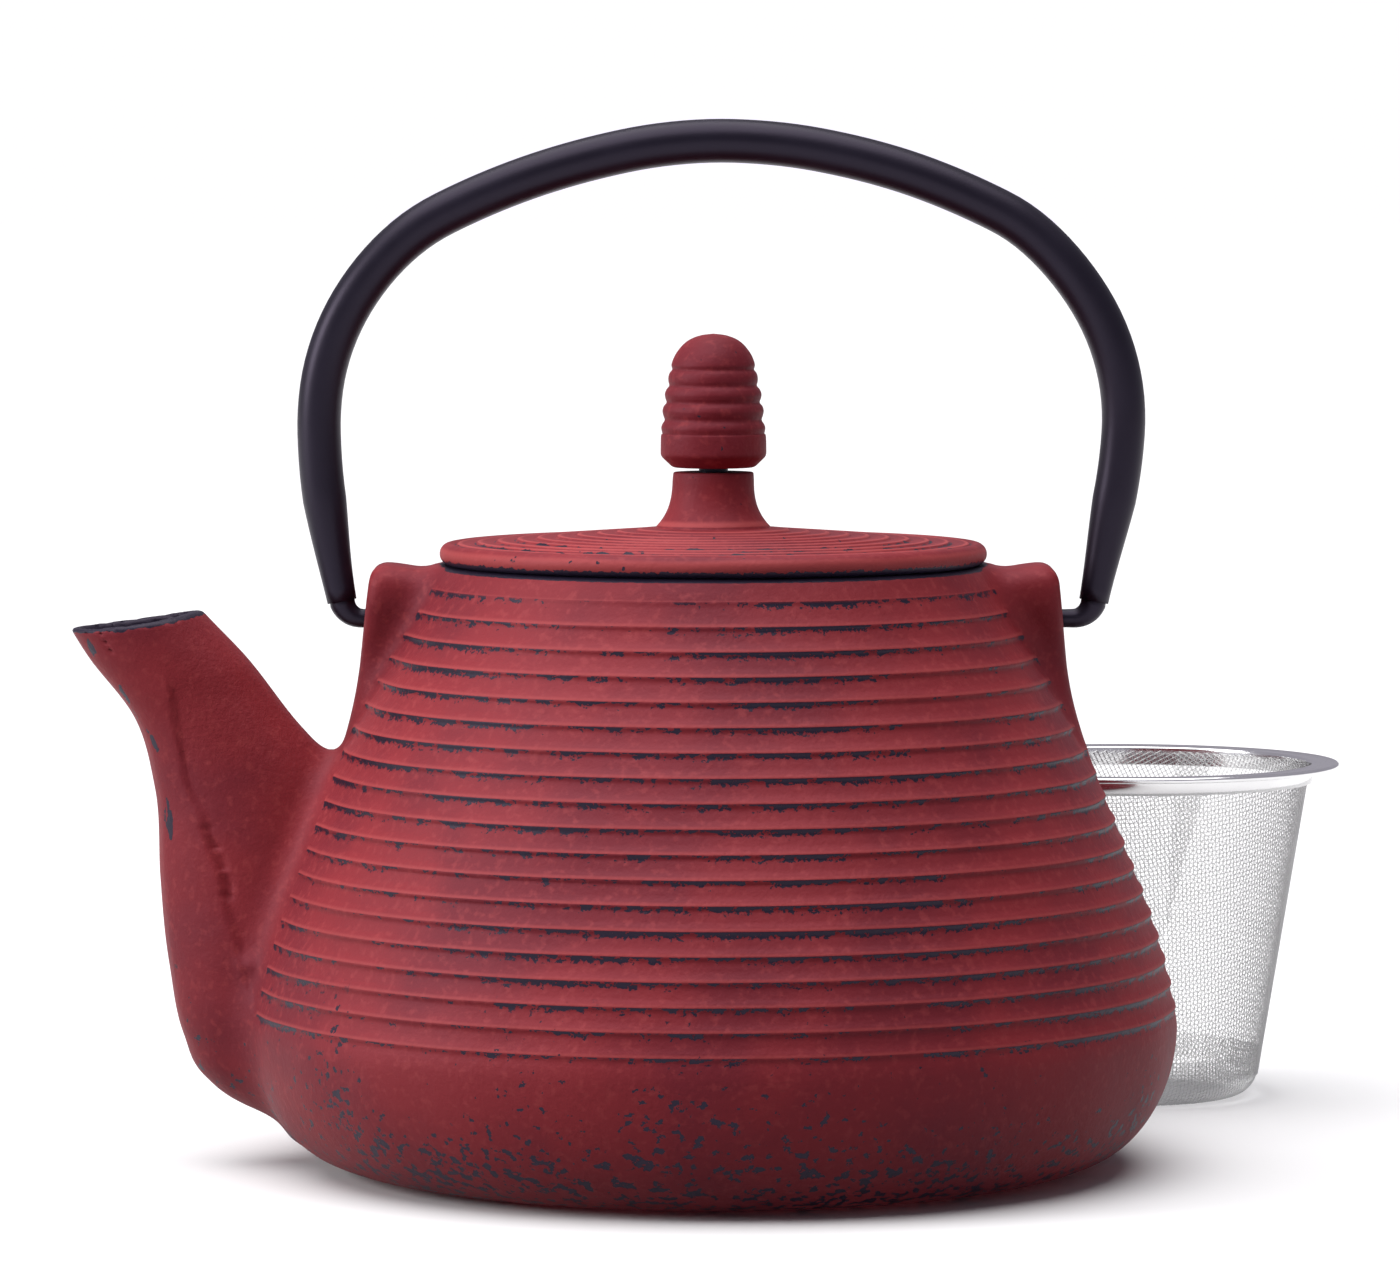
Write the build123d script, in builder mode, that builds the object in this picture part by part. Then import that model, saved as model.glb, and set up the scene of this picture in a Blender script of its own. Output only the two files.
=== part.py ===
from build123d import *
import math
import os

# Cast-iron teapot with a bail handle, a lid with a separate knob, and a woven-wire infuser basket.
# All sizes are in millimetres. The origin is the centre of the foot, +Z is up and the spout points to -X.

# --- Pot casting ---
foot_radius = 50.0
heel_inset = 8.2
heel_height = 5.5
belly_radius = 83.1
belly_height = 27.0
shoulder_height = 107.8
flank_power = 1.37
pot_wall = 3.4
floor_thickness = 4.0
cavity_spans = 5

# --- Ridges: clapboard bands round the flank ---
ridge_count = 18
ridge_pitch = 4.16
ridge_depth = 0.6
ridge_step = 0.5
top_ridge_drop = 3.8

# --- Infuser basket: pressed rim, woven wall and woven base ---
infuser_neck_radius = 36.4
infuser_flange_width = 4.6
infuser_base_radius = 26.0
infuser_height = 64.5
infuser_sheet = 0.8
infuser_neck_depth = 3.0
mesh_thickness = 0.5
mesh_corner_radius = 5.0
mesh_overlap = 4.0
mesh_gap = 0.03
infuser_stand_gap = 2.4
infuser_stand_bearing = 50.8

# --- Mouth of the pot: a rebate for the flange and the lid skirt, above a ledge ---
flange_clearance = 0.6
neck_clearance = 1.3
skirt_clearance = 0.5
flange_headroom = 0.6
ledge_thickness = 3.5
mouth_wall = 6.9

# --- Lid ---
lid_overhang = 0.4
lid_rim_thickness = 3.9
lid_rim_round = 1.6
lid_rim_width = 2.9
lid_plate_thickness = 3.1
lid_rise = 2.7
lid_ring_count = 10
lid_ring_depth = 0.5
lid_ring_step = 0.5
skirt_depth = 5.0
skirt_thickness = 3.0
boss_radius = 7.45
boss_top_above_rim = 12.6
boss_flare = 3.0

# --- Knob and the stud, washer and nut that hold it ---
knob_radius = 9.4
knob_height = 23.9
knob_gap = 0.8
knob_chamfer = 2.1
knob_band_height = 8.2
knob_groove_count = 4
knob_groove_pitch = 2.5
knob_groove_depth = 0.45
knob_groove_width = 1.0
knob_taper = 0.33
knob_dome_radius = 4.3
knob_dome_drop = 0.8
stud_shank_radius = 2.6
stud_thread_radius = 2.0
stud_in_knob = 12.0
stud_shank_in_knob = 1.0
running_clearance = 0.05
thread_clearance = 0.15
boss_step_above_plate = 4.0
washer_to_thread = 2.5
washer_thickness = 0.8
washer_clearance = 0.1
nut_to_thread = 3.5
nut_height = 3.2
stud_below_nut = 1.0

# --- Lugs ---
lug_reach = 13.8
lug_root = 4.5
lug_lean = 7.0
lug_half_width = 9.0
lug_foot_half_width = 3.0
lug_foot_drop = 24.0
lug_top_rise = 9.2
lug_top_slope = 9.0
lug_edge_round = 2.4

# --- Bail handle: a bent tube, a hook rod pressed into each end ---
pivot_drop = 9.7
handle_rise = 88.8
tube_radius = 3.9
tube_wall = 1.2
tube_end_lip = 0.3
crown_half_angle = 12.8
haunch_radius = 148.0
haunch_heading = 26.1
shoulder_bend_radius = 40.5
shoulder_heading = 93.4
leg_bend_radius = 88.0
leg_heading = 101.1
hook_bend_radius = 3.8
hook_rod_radius = 2.1
hook_spigot_step = 0.6
hook_spigot_length = 12.0
pin_step = 0.3
pin_depth = 6.0
pin_end_space = 2.0
hook_standoff = 1.2
end_play = 0.8

# --- Spout ---
spout_wall = 3.3
lip_wall = 1.9
lip_depth = 10.0
mouth_front_reach = 31.9
mouth_front_height = 96.5
mouth_back_reach = 9.4
mouth_back_height = 99.6
passage_floor = 20.0
passage_entry_top = 60.0
passage_entry_depth = 17.0

# Level sections from the root up: height, outer and inner edge beyond the belly's radius, half width.
# The inner edges of the lower sections are inside the pot's wall.
spout_sections = [
    (8.0, -7.1, -21.0, 4.0),
    (11.0, 1.4, -21.0, 8.5),
    (16.0, 8.1, -21.0, 11.5),
    (23.5, 11.9, -21.0, 13.5),
    (36.0, 14.5, -21.0, 14.2),
    (52.0, 16.0, -21.0, 13.6),
    (68.0, 17.0, -18.0, 12.6),
    (80.5, 20.6, -7.8, 11.8),
    (91.5, 28.8, 0.8, 11.2),
    (97.5, 32.4, 6.5, 11.0),
    (104.0, 35.1, 12.5, 11.0),
]

# --- Sizes that follow from the ones above ---
infuser_flange_radius = infuser_neck_radius + infuser_flange_width
rebate_radius = infuser_flange_radius + flange_clearance
shoulder_radius = rebate_radius + mouth_wall
ledge_drop = skirt_depth + flange_headroom + infuser_sheet
ledge_top = shoulder_height - ledge_drop
ledge_bottom = ledge_top - ledge_thickness
neck_bore_radius = infuser_neck_radius + neck_clearance

lid_radius = shoulder_radius + lid_overhang
lid_rim_top = shoulder_height + lid_rim_thickness
lid_ring_outer = lid_radius - lid_rim_width
boss_base_radius = boss_radius + boss_flare
lid_crown_height = lid_rim_top + lid_rise
lid_underside = lid_rim_top - lid_plate_thickness
boss_top = lid_rim_top + boss_top_above_rim
skirt_radius = rebate_radius - skirt_clearance

knob_bottom = boss_top + knob_gap
stud_shoulder = lid_underside + boss_step_above_plate
washer_top = lid_underside - washer_clearance
nut_top = washer_top - washer_thickness
nut_bottom = nut_top - nut_height
stud_bottom = nut_bottom - stud_below_nut

pivot_height = shoulder_height - pivot_drop
lug_face_at_pivot = shoulder_radius + lug_reach
lug_root_radius = shoulder_radius - lug_root
handle_half_span = lug_face_at_pivot + hook_standoff
tube_end_radius = hook_rod_radius + tube_end_lip
hook_spigot_radius = hook_rod_radius - hook_spigot_step
pin_radius = hook_rod_radius - pin_step

infuser_distance = belly_radius + infuser_flange_radius + infuser_stand_gap
infuser_x = infuser_distance * math.cos(math.radians(infuser_stand_bearing))
infuser_y = infuser_distance * math.sin(math.radians(infuser_stand_bearing))
wall_top_radius = infuser_neck_radius - infuser_sheet - mesh_gap
flange_bottom = infuser_height - infuser_sheet
neck_bottom = flange_bottom - infuser_neck_depth
base_top = mesh_corner_radius + mesh_overlap


def flank_radius(height):
    """Radius over the ridges' crests, between the belly's widest height and the shoulder."""
    rise = (height - belly_height) / (shoulder_height - belly_height)
    return belly_radius - (belly_radius - shoulder_radius) * rise**flank_power


def ridge_outline():
    """Clapboard outline from the lowest ridge up: a step under each crest, a band leaning in above it."""
    points = []
    for number in reversed(range(ridge_count)):
        crest = shoulder_height - top_ridge_drop - ridge_pitch * number
        points.append((flank_radius(crest) - ridge_depth, crest - ridge_step))
        points.append((flank_radius(crest), crest))
    return points


def lid_ring_outline():
    """Stepped rings from the lid's rim in to the boss: each steps up to a crest, then dips a little."""
    points = []
    ring_pitch = (lid_ring_outer - boss_base_radius) / lid_ring_count
    for number in range(lid_ring_count):
        crest_radius = lid_ring_outer - ring_pitch * number
        crest = lid_rim_top + lid_rise * number / lid_ring_count
        points.append((crest_radius, crest - lid_ring_depth))
        points.append((crest_radius - lid_ring_step, crest))
    return points


def knob_groove_outline():
    """Grooves round the knob from the lowest up, on a body that tapers a little at each."""
    points = []
    for number in range(knob_groove_count):
        groove = knob_bottom + knob_band_height + knob_groove_pitch * number
        land_radius = knob_radius - knob_taper * number
        points.append((land_radius, groove))
        points.append((land_radius - knob_taper - knob_groove_depth, groove + knob_groove_width))
        points.append((land_radius - knob_taper, groove + 2 * knob_groove_width))
    return points


def arc_run(radius, start_heading, end_heading):
    """Outward and downward travel along an arc whose headings are degrees below level."""
    start = math.radians(start_heading)
    end = math.radians(end_heading)
    return radius * (math.sin(end) - math.sin(start)), radius * (math.cos(start) - math.cos(end))


def crown_and_leg():
    """Crown radius and straight leg length that carry the bail from its top to the hooks' level ends."""
    bends = [
        arc_run(haunch_radius, crown_half_angle, haunch_heading),
        arc_run(shoulder_bend_radius, haunch_heading, shoulder_heading),
        arc_run(leg_bend_radius, shoulder_heading, leg_heading),
        arc_run(hook_bend_radius, leg_heading, 180),
    ]
    span = handle_half_span - sum(bend[0] for bend in bends)
    drop = handle_rise - tube_radius - sum(bend[1] for bend in bends)
    crown_out, crown_down = arc_run(1.0, 0, crown_half_angle)
    leg = math.radians(leg_heading)
    scale = crown_out * math.sin(leg) - crown_down * math.cos(leg)
    radius = (span * math.sin(leg) - drop * math.cos(leg)) / scale
    length = (crown_out * drop - crown_down * span) / scale
    return radius, length


crown_radius, leg_length = crown_and_leg()
leg_angle = math.radians(leg_heading)
hook_run = arc_run(hook_bend_radius, leg_heading, 180)
leg_end_x = handle_half_span - hook_run[0]
leg_end_height = pivot_height + hook_run[1]
leg_start_x = leg_end_x - leg_length * math.cos(leg_angle)
leg_start_height = leg_end_height + leg_length * math.sin(leg_angle)


def side_x(side, distance):
    """X of a point of the bail at a distance from its middle: side is +1 at the right and -1 at the left."""
    return end_play + side * distance


def leg_plane(side, distance):
    """Plane across a straight leg, at a distance above its lower end, facing up along the leg."""
    out = leg_end_x - distance * math.cos(leg_angle)
    height = leg_end_height + distance * math.sin(leg_angle)
    direction = (-side * math.cos(leg_angle), 0, math.sin(leg_angle))
    return Plane(origin=(side_x(side, out), 0, height), x_dir=(0, 1, 0), z_dir=direction)


def oval(section):
    """Level oval of the spout or its passage, as its plane, half length and half width."""
    height, outer, inner, half_width = section
    middle = -belly_radius - (outer + inner) / 2
    return Plane(origin=(middle, 0, height)), (outer - inner) / 2, half_width


def passage_section(section):
    """Section of the passage inside one of the spout: its lower part reaches into the pot's cavity."""
    height, outer, inner, half_width = section
    wall = lip_wall if height > mouth_front_height - lip_depth else spout_wall
    if height < passage_entry_top:
        return height, outer - wall, -passage_entry_depth, half_width - wall
    return height, outer - wall, max(inner, flank_radius(height) - belly_radius) + wall / 2, half_width - wall


# --- Pot: belly with its ridges, spout and two lugs, one casting ---
with BuildPart() as pot_body:
    with BuildSketch(Plane.XZ):
        with BuildLine():
            ridges = ridge_outline()
            Line((0, 0), (foot_radius, 0))
            Spline(
                (foot_radius, 0),
                (belly_radius - heel_inset, heel_height),
                (belly_radius, belly_height),
                tangents=((1, 0), (0, 1)),
            )
            Polyline([(belly_radius, belly_height), *ridges, (shoulder_radius, shoulder_height)])
            Polyline([(shoulder_radius, shoulder_height), (0, shoulder_height), (0, 0)])
        make_face()
    revolve(axis=Axis.Z)

    # Spout, cut level with its sloping mouth.
    for section in spout_sections:
        plane, half_length, half_width = oval(section)
        with BuildSketch(plane):
            Ellipse(half_length, half_width)
    loft()
    mouth_length = mouth_front_reach - mouth_back_reach
    mouth_slope = math.degrees(math.atan2(mouth_back_height - mouth_front_height, mouth_length))
    mouth_front = (-belly_radius - mouth_front_reach, 0, mouth_front_height)
    with BuildSketch(Plane(origin=mouth_front).rotated((0, -mouth_slope, 0))):
        Rectangle(3 * mouth_length, 3 * mouth_length)
    extrude(amount=mouth_length, mode=Mode.SUBTRACT)

    # Lugs: thick at the top, drawn in to a thin foot where they run out on the flank.
    lug_levels = [
        (-lug_foot_drop, lug_foot_half_width, 0, 0),
        (-lug_foot_drop / 2, (lug_foot_half_width + lug_half_width) / 2, 0, 0),
        (0, lug_half_width, 0, 0),
        (lug_top_rise - lug_edge_round, lug_half_width, 0, lug_top_slope),
        (lug_top_rise, lug_half_width - lug_edge_round, lug_edge_round, lug_top_slope),
    ]
    for side in (-1, 1):
        for rise, half_width, set_back, slope in lug_levels:
            face = lug_face_at_pivot - set_back - rise * math.tan(math.radians(lug_lean))
            middle = side * (face + lug_root_radius) / 2
            level = Plane(origin=(middle, 0, pivot_height + rise)).rotated((0, -side * slope, 0))
            with BuildSketch(level):
                RectangleRounded(face - lug_root_radius, 2 * half_width, lug_edge_round)
        loft(ruled=True)

    # Cavity, with the ledge and the rebate of the mouth.
    with BuildSketch(Plane.XZ):
        with BuildLine():
            cavity_span = (ledge_bottom - belly_height) / cavity_spans
            cavity_heights = [belly_height + cavity_span * step for step in range(cavity_spans + 1)]
            cavity_points = [(flank_radius(height) - pot_wall, height) for height in cavity_heights]
            Line((0, floor_thickness), (foot_radius, floor_thickness))
            Spline((foot_radius, floor_thickness), cavity_points[0], tangents=((1, 0), (0, 1)))
            upper_slope = (shoulder_radius - belly_radius, shoulder_height - belly_height)
            Spline(cavity_points, tangents=((0, 1), upper_slope))
            Polyline([
                cavity_points[-1],
                (neck_bore_radius, ledge_bottom),
                (neck_bore_radius, ledge_top),
                (rebate_radius, ledge_top),
                (rebate_radius, shoulder_height),
                (0, shoulder_height),
                (0, floor_thickness),
            ])
        make_face()
    revolve(axis=Axis.Z, mode=Mode.SUBTRACT)

    # Passage from the cavity to the mouth of the spout.
    for section in spout_sections:
        if section[0] > passage_floor:
            plane, half_length, half_width = oval(passage_section(section))
            with BuildSketch(plane):
                Ellipse(half_length, half_width)
    loft(mode=Mode.SUBTRACT)

    # Blind holes for the hook pins.
    for side in (-1, 1):
        outer_end = lug_face_at_pivot + hook_standoff
        inner_end = lug_face_at_pivot - pin_depth - pin_end_space
        with BuildSketch(Plane(origin=(side * inner_end, 0, pivot_height), z_dir=(side, 0, 0))):
            Circle(pin_radius + running_clearance)
        extrude(amount=outer_end - inner_end, mode=Mode.SUBTRACT)

# --- Lid: rim, stepped rings, flared boss and a skirt that drops into the rebate ---
with BuildPart() as lid:
    with BuildSketch(Plane.XZ):
        with BuildLine():
            Polyline([
                (0, lid_underside),
                (skirt_radius - skirt_thickness, lid_underside),
                (skirt_radius - skirt_thickness, shoulder_height - skirt_depth),
                (skirt_radius, shoulder_height - skirt_depth),
                (skirt_radius, shoulder_height),
                (lid_radius - lid_rim_round, shoulder_height),
            ])
            RadiusArc(
                (lid_radius - lid_rim_round, shoulder_height),
                (lid_radius, shoulder_height + lid_rim_round),
                -lid_rim_round,
            )
            Line((lid_radius, shoulder_height + lid_rim_round), (lid_radius, lid_rim_top - lid_rim_round))
            RadiusArc(
                (lid_radius, lid_rim_top - lid_rim_round),
                (lid_radius - lid_rim_round, lid_rim_top),
                -lid_rim_round,
            )
            Polyline([
                (lid_radius - lid_rim_round, lid_rim_top),
                (lid_ring_outer, lid_rim_top),
                *lid_ring_outline(),
                (boss_base_radius, lid_crown_height),
            ])
            RadiusArc(
                (boss_base_radius, lid_crown_height),
                (boss_radius, lid_crown_height + boss_flare),
                boss_flare,
            )
            Polyline([
                (boss_radius, lid_crown_height + boss_flare),
                (boss_radius, boss_top),
                (0, boss_top),
                (0, lid_underside),
            ])
        make_face()
    revolve(axis=Axis.Z)
    with BuildSketch(Plane.XY.offset(stud_shoulder)):
        Circle(stud_shank_radius + running_clearance)
    extrude(amount=boss_top - stud_shoulder, mode=Mode.SUBTRACT)
    with BuildSketch(Plane.XY.offset(lid_underside)):
        Circle(stud_thread_radius + thread_clearance)
    extrude(amount=stud_shoulder - lid_underside, mode=Mode.SUBTRACT)

# --- Knob: acorn shape with a chamfered foot, a plain band, grooves and a dome ---
with BuildPart() as knob:
    knob_top = knob_bottom + knob_height
    with BuildSketch(Plane.XZ):
        with BuildLine():
            grooves = knob_groove_outline()
            Polyline([
                (0, knob_bottom),
                (knob_radius - knob_chamfer, knob_bottom),
                (knob_radius, knob_bottom + knob_chamfer),
                *grooves,
            ])
            Spline(
                grooves[-1],
                (knob_dome_radius, knob_top - knob_dome_drop),
                (0, knob_top),
                tangents=((0, 1), (-1, 0)),
            )
            Line((0, knob_top), (0, knob_bottom))
        make_face()
    revolve(axis=Axis.Z)
    with BuildSketch(Plane.XY.offset(knob_bottom)):
        Circle(stud_shank_radius)
    extrude(amount=stud_shank_in_knob, mode=Mode.SUBTRACT)
    with BuildSketch(Plane.XY.offset(knob_bottom)):
        Circle(stud_thread_radius)
    extrude(amount=stud_in_knob, mode=Mode.SUBTRACT)

# --- Stud: a shank through the boss between two threaded ends ---
with BuildPart() as knob_stud:
    with BuildSketch(Plane.XY.offset(stud_bottom)):
        Circle(stud_thread_radius)
    extrude(amount=knob_bottom + stud_in_knob - stud_bottom)
    with BuildSketch(Plane.XY.offset(stud_shoulder)):
        Circle(stud_shank_radius)
    extrude(amount=knob_bottom + stud_shank_in_knob - stud_shoulder)

with BuildPart() as knob_washer:
    with BuildSketch(Plane.XY.offset(nut_top)):
        Circle(washer_to_thread * stud_thread_radius)
        Circle(stud_thread_radius + thread_clearance, mode=Mode.SUBTRACT)
    extrude(amount=washer_thickness)

with BuildPart() as knob_nut:
    with BuildSketch(Plane.XY.offset(nut_bottom)):
        RegularPolygon(nut_to_thread * stud_thread_radius / 2, 6, major_radius=False)
        Circle(stud_thread_radius, mode=Mode.SUBTRACT)
    extrude(amount=nut_height)

# --- Bail tube: one bend in several tangent arcs, swaged to a taper along each leg ---
with BuildLine(Plane.XZ) as bail_path:
    right_start = (side_x(1, leg_start_x), leg_start_height)
    right_heading = (math.cos(leg_angle + math.pi), math.sin(leg_angle))
    path = JernArc(right_start, right_heading, leg_bend_radius, leg_heading - shoulder_heading)
    path = JernArc(path @ 1, path % 1, shoulder_bend_radius, shoulder_heading - haunch_heading)
    path = JernArc(path @ 1, path % 1, haunch_radius, haunch_heading - crown_half_angle)
    path = JernArc(path @ 1, path % 1, crown_radius, 2 * crown_half_angle)
    path = JernArc(path @ 1, path % 1, haunch_radius, haunch_heading - crown_half_angle)
    path = JernArc(path @ 1, path % 1, shoulder_bend_radius, shoulder_heading - haunch_heading)
    path = JernArc(path @ 1, path % 1, leg_bend_radius, leg_heading - shoulder_heading)

with BuildPart() as handle_tube:
    with BuildSketch(leg_plane(1, leg_length)):
        Circle(tube_radius)
        Circle(tube_radius - tube_wall, mode=Mode.SUBTRACT)
    sweep(path=bail_path.wires()[0])
    for side in (-1, 1):
        for distance, radius in ((0, tube_end_radius), (leg_length, tube_radius)):
            with BuildSketch(leg_plane(side, distance)):
                Circle(radius)
        loft()
        for distance, radius in ((0, hook_spigot_radius), (hook_spigot_length, hook_spigot_radius)):
            with BuildSketch(leg_plane(side, distance)):
                Circle(radius)
        loft(mode=Mode.SUBTRACT)
        for distance, radius in (
            (hook_spigot_length, hook_spigot_radius),
            (leg_length, tube_radius - tube_wall),
        ):
            with BuildSketch(leg_plane(side, distance)):
                Circle(radius)
        loft(mode=Mode.SUBTRACT)


def make_hook(side):
    """Steel rod: a spigot for the tube, a bend and a level pin for the lug."""
    with BuildPart() as hook:
        with BuildSketch(leg_plane(side, 0)):
            Circle(hook_spigot_radius)
        extrude(amount=hook_spigot_length)
        with BuildLine(Plane.XZ) as bend:
            start = (side_x(side, leg_end_x), leg_end_height)
            heading = (side * math.cos(leg_angle), -math.sin(leg_angle))
            JernArc(start, heading, hook_bend_radius, -side * (180 - leg_heading))
        with BuildSketch(leg_plane(side, 0)):
            Circle(hook_rod_radius)
        sweep(path=bend.wires()[0])
        bend_end = side_x(side, handle_half_span)
        pin_end = side * (lug_face_at_pivot - pin_depth)
        with BuildSketch(Plane(origin=(pin_end, 0, pivot_height), z_dir=(side, 0, 0))):
            Circle(pin_radius)
        extrude(amount=abs(bend_end - pin_end))
    return hook


hook_left = make_hook(-1)
hook_right = make_hook(1)

# --- Infuser: its axis stands beside the pot, on the same level as the foot ---
infuser_plane = Plane(origin=(infuser_x, infuser_y, 0), x_dir=(1, 0, 0), z_dir=(0, -1, 0))
infuser_axis = Axis((infuser_x, infuser_y, 0), (0, 0, 1))


def wall_radius(height):
    """Outer radius of the woven cone at a height."""
    share = (height - mesh_corner_radius) / (flange_bottom - mesh_corner_radius)
    return infuser_base_radius + (wall_top_radius - infuser_base_radius) * share


with BuildPart() as infuser_rim:
    with BuildSketch(infuser_plane):
        with BuildLine():
            Polyline([
                (infuser_neck_radius - infuser_sheet, neck_bottom),
                (infuser_neck_radius, neck_bottom),
                (infuser_neck_radius, flange_bottom),
                (infuser_flange_radius, flange_bottom),
                (infuser_flange_radius, infuser_height),
                (infuser_neck_radius - infuser_sheet, infuser_height),
                (infuser_neck_radius - infuser_sheet, neck_bottom),
            ])
        make_face()
    revolve(axis=infuser_axis)
    flange_edges = infuser_rim.edges().filter_by(GeomType.CIRCLE).group_by(SortBy.RADIUS)[-1]
    fillet(flange_edges, infuser_sheet / 3)

with BuildPart() as infuser_wall:
    with BuildSketch(infuser_plane):
        with BuildLine():
            Polyline([
                (wall_radius(mesh_corner_radius) - mesh_thickness, mesh_corner_radius),
                (wall_radius(mesh_corner_radius), mesh_corner_radius),
                (wall_radius(flange_bottom), flange_bottom),
                (wall_radius(flange_bottom) - mesh_thickness, flange_bottom),
                (wall_radius(mesh_corner_radius) - mesh_thickness, mesh_corner_radius),
            ])
        make_face()
    revolve(axis=infuser_axis)

with BuildPart() as infuser_base:
    outer_edge = wall_radius(mesh_corner_radius) - mesh_thickness - mesh_gap
    top_edge = wall_radius(base_top) - mesh_thickness - mesh_gap
    with BuildSketch(infuser_plane):
        with BuildLine():
            Line((0, 0), (outer_edge - mesh_corner_radius, 0))
            RadiusArc(
                (outer_edge - mesh_corner_radius, 0),
                (outer_edge, mesh_corner_radius),
                -mesh_corner_radius,
            )
            Polyline([
                (outer_edge, mesh_corner_radius),
                (top_edge, base_top),
                (top_edge - mesh_thickness, base_top),
                (outer_edge - mesh_thickness, mesh_corner_radius),
            ])
            RadiusArc(
                (outer_edge - mesh_thickness, mesh_corner_radius),
                (outer_edge - mesh_corner_radius, mesh_thickness),
                mesh_corner_radius - mesh_thickness,
            )
            Polyline([(outer_edge - mesh_corner_radius, mesh_thickness), (0, mesh_thickness), (0, 0)])
        make_face()
    revolve(axis=infuser_axis)

# --- Labels and files ---
pieces = {
    "pot_body": pot_body,
    "lid": lid,
    "knob": knob,
    "knob_stud": knob_stud,
    "knob_washer": knob_washer,
    "knob_nut": knob_nut,
    "handle_tube": handle_tube,
    "hook_left": hook_left,
    "hook_right": hook_right,
    "infuser_rim": infuser_rim,
    "infuser_wall": infuser_wall,
    "infuser_base": infuser_base,
}
os.makedirs("parts", exist_ok=True)
for label, piece in pieces.items():
    piece.part.label = label
    export_step(piece.part, f"parts/{label}.step")
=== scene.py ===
import math

import bpy
import numpy as np
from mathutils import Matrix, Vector


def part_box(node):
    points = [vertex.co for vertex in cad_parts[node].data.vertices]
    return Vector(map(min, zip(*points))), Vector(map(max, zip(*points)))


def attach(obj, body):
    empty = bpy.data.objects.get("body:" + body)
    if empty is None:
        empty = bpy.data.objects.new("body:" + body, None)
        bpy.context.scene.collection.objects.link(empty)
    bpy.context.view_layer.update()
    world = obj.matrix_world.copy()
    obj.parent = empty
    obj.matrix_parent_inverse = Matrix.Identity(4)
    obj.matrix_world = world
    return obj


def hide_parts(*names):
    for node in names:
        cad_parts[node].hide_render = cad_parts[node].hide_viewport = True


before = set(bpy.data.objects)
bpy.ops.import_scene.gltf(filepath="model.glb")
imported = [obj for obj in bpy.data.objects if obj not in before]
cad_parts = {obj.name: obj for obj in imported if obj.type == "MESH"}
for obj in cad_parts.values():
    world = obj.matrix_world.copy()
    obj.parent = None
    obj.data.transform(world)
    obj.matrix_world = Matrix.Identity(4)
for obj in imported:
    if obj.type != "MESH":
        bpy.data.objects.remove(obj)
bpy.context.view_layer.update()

MM = 0.001

# Sizes are in millimetres here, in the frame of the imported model, and meshes are scaled to metres when made.


def node_box(name):
    """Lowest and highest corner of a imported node, in millimetres."""
    low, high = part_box(name)
    return np.array(low) / MM, np.array(high) / MM


_, pot_high = node_box("pot_body")
lid_low, lid_high = node_box("lid")
knob_low, knob_high = node_box("knob")
_, stud_high = node_box("knob_stud")
tube_low, tube_high = node_box("handle_tube")
rim_low, rim_high = node_box("infuser_rim")
wall_low, wall_high = node_box("infuser_wall")
base_low, base_high = node_box("infuser_base")

# --- Camera: a long lens a little above the lid, looking along +Y and tilted down ---
CAMERA_LENS = 180
CAMERA_TILT = 3.68
CAMERA_PLACE = (-2.4, -1250.0, 175.4)


def add_camera():
    camera_data = bpy.data.cameras.new("camera")
    camera_data.lens = CAMERA_LENS
    camera_data.clip_end = 100
    camera = bpy.data.objects.new("camera", camera_data)
    bpy.context.collection.objects.link(camera)
    camera.location = [value * MM for value in CAMERA_PLACE]
    camera.rotation_euler = (math.radians(90 - CAMERA_TILT), 0, 0)
    bpy.context.scene.camera = camera


add_camera()

# --- Pot outline ---
BELLY_RADIUS = pot_high[1]
BELLY_HEIGHT = 27.0
FOOT_RADIUS = 50.0
HEEL_FULLNESS = 0.28
SHOULDER_RADIUS = 48.5
SHOULDER_HEIGHT = 107.8
FLANK_POWER = 1.37
WALL = 3.4
FLOOR = 4.0

# --- Ridges ---
RIDGE_PITCH = 4.16
RIDGE_COUNT = 19
TOP_CREST = SHOULDER_HEIGHT - 3.8
RIDGE_DEPTH = 0.52
RIDGE_STEP = 0.95
RIDGE_LIP = 1.5
RIDGE_FADE_LOW = 23.5
RIDGE_FADE_HIGH = 31.0
TOP_RIDGES_SOFT = 9.0

# --- Mouth of the pot ---
REBATE_RADIUS = 41.6
NECK_RADIUS = 37.7
LEDGE_TOP = 101.4
LEDGE_BOTTOM = 97.9
LID_SPACE_RADIUS = 49.3

# --- Lugs ---
PIVOT_HEIGHT = 98.1
LUG_FACE = 62.3
LUG_LEAN = 0.11
LUG_INNER = 40.0
LUG_TOP = 108.3
LUG_TOP_AT = 59.5
LUG_TOP_SLOPE = 0.165
LUG_ROUND = 3.2
LUG_HEIGHTS = (70.0, 76.0, 84.0, 91.0, 97.0, 101.0, 110.0)
LUG_HALF_WIDTHS = (1.6, 2.3, 3.2, 4.6, 7.2, 8.8, 8.6)
PIN_HOLE_RADIUS = 1.85
PIN_HOLE_END = 54.3
PIN_HOLE_START = LUG_FACE + 4.0

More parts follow.
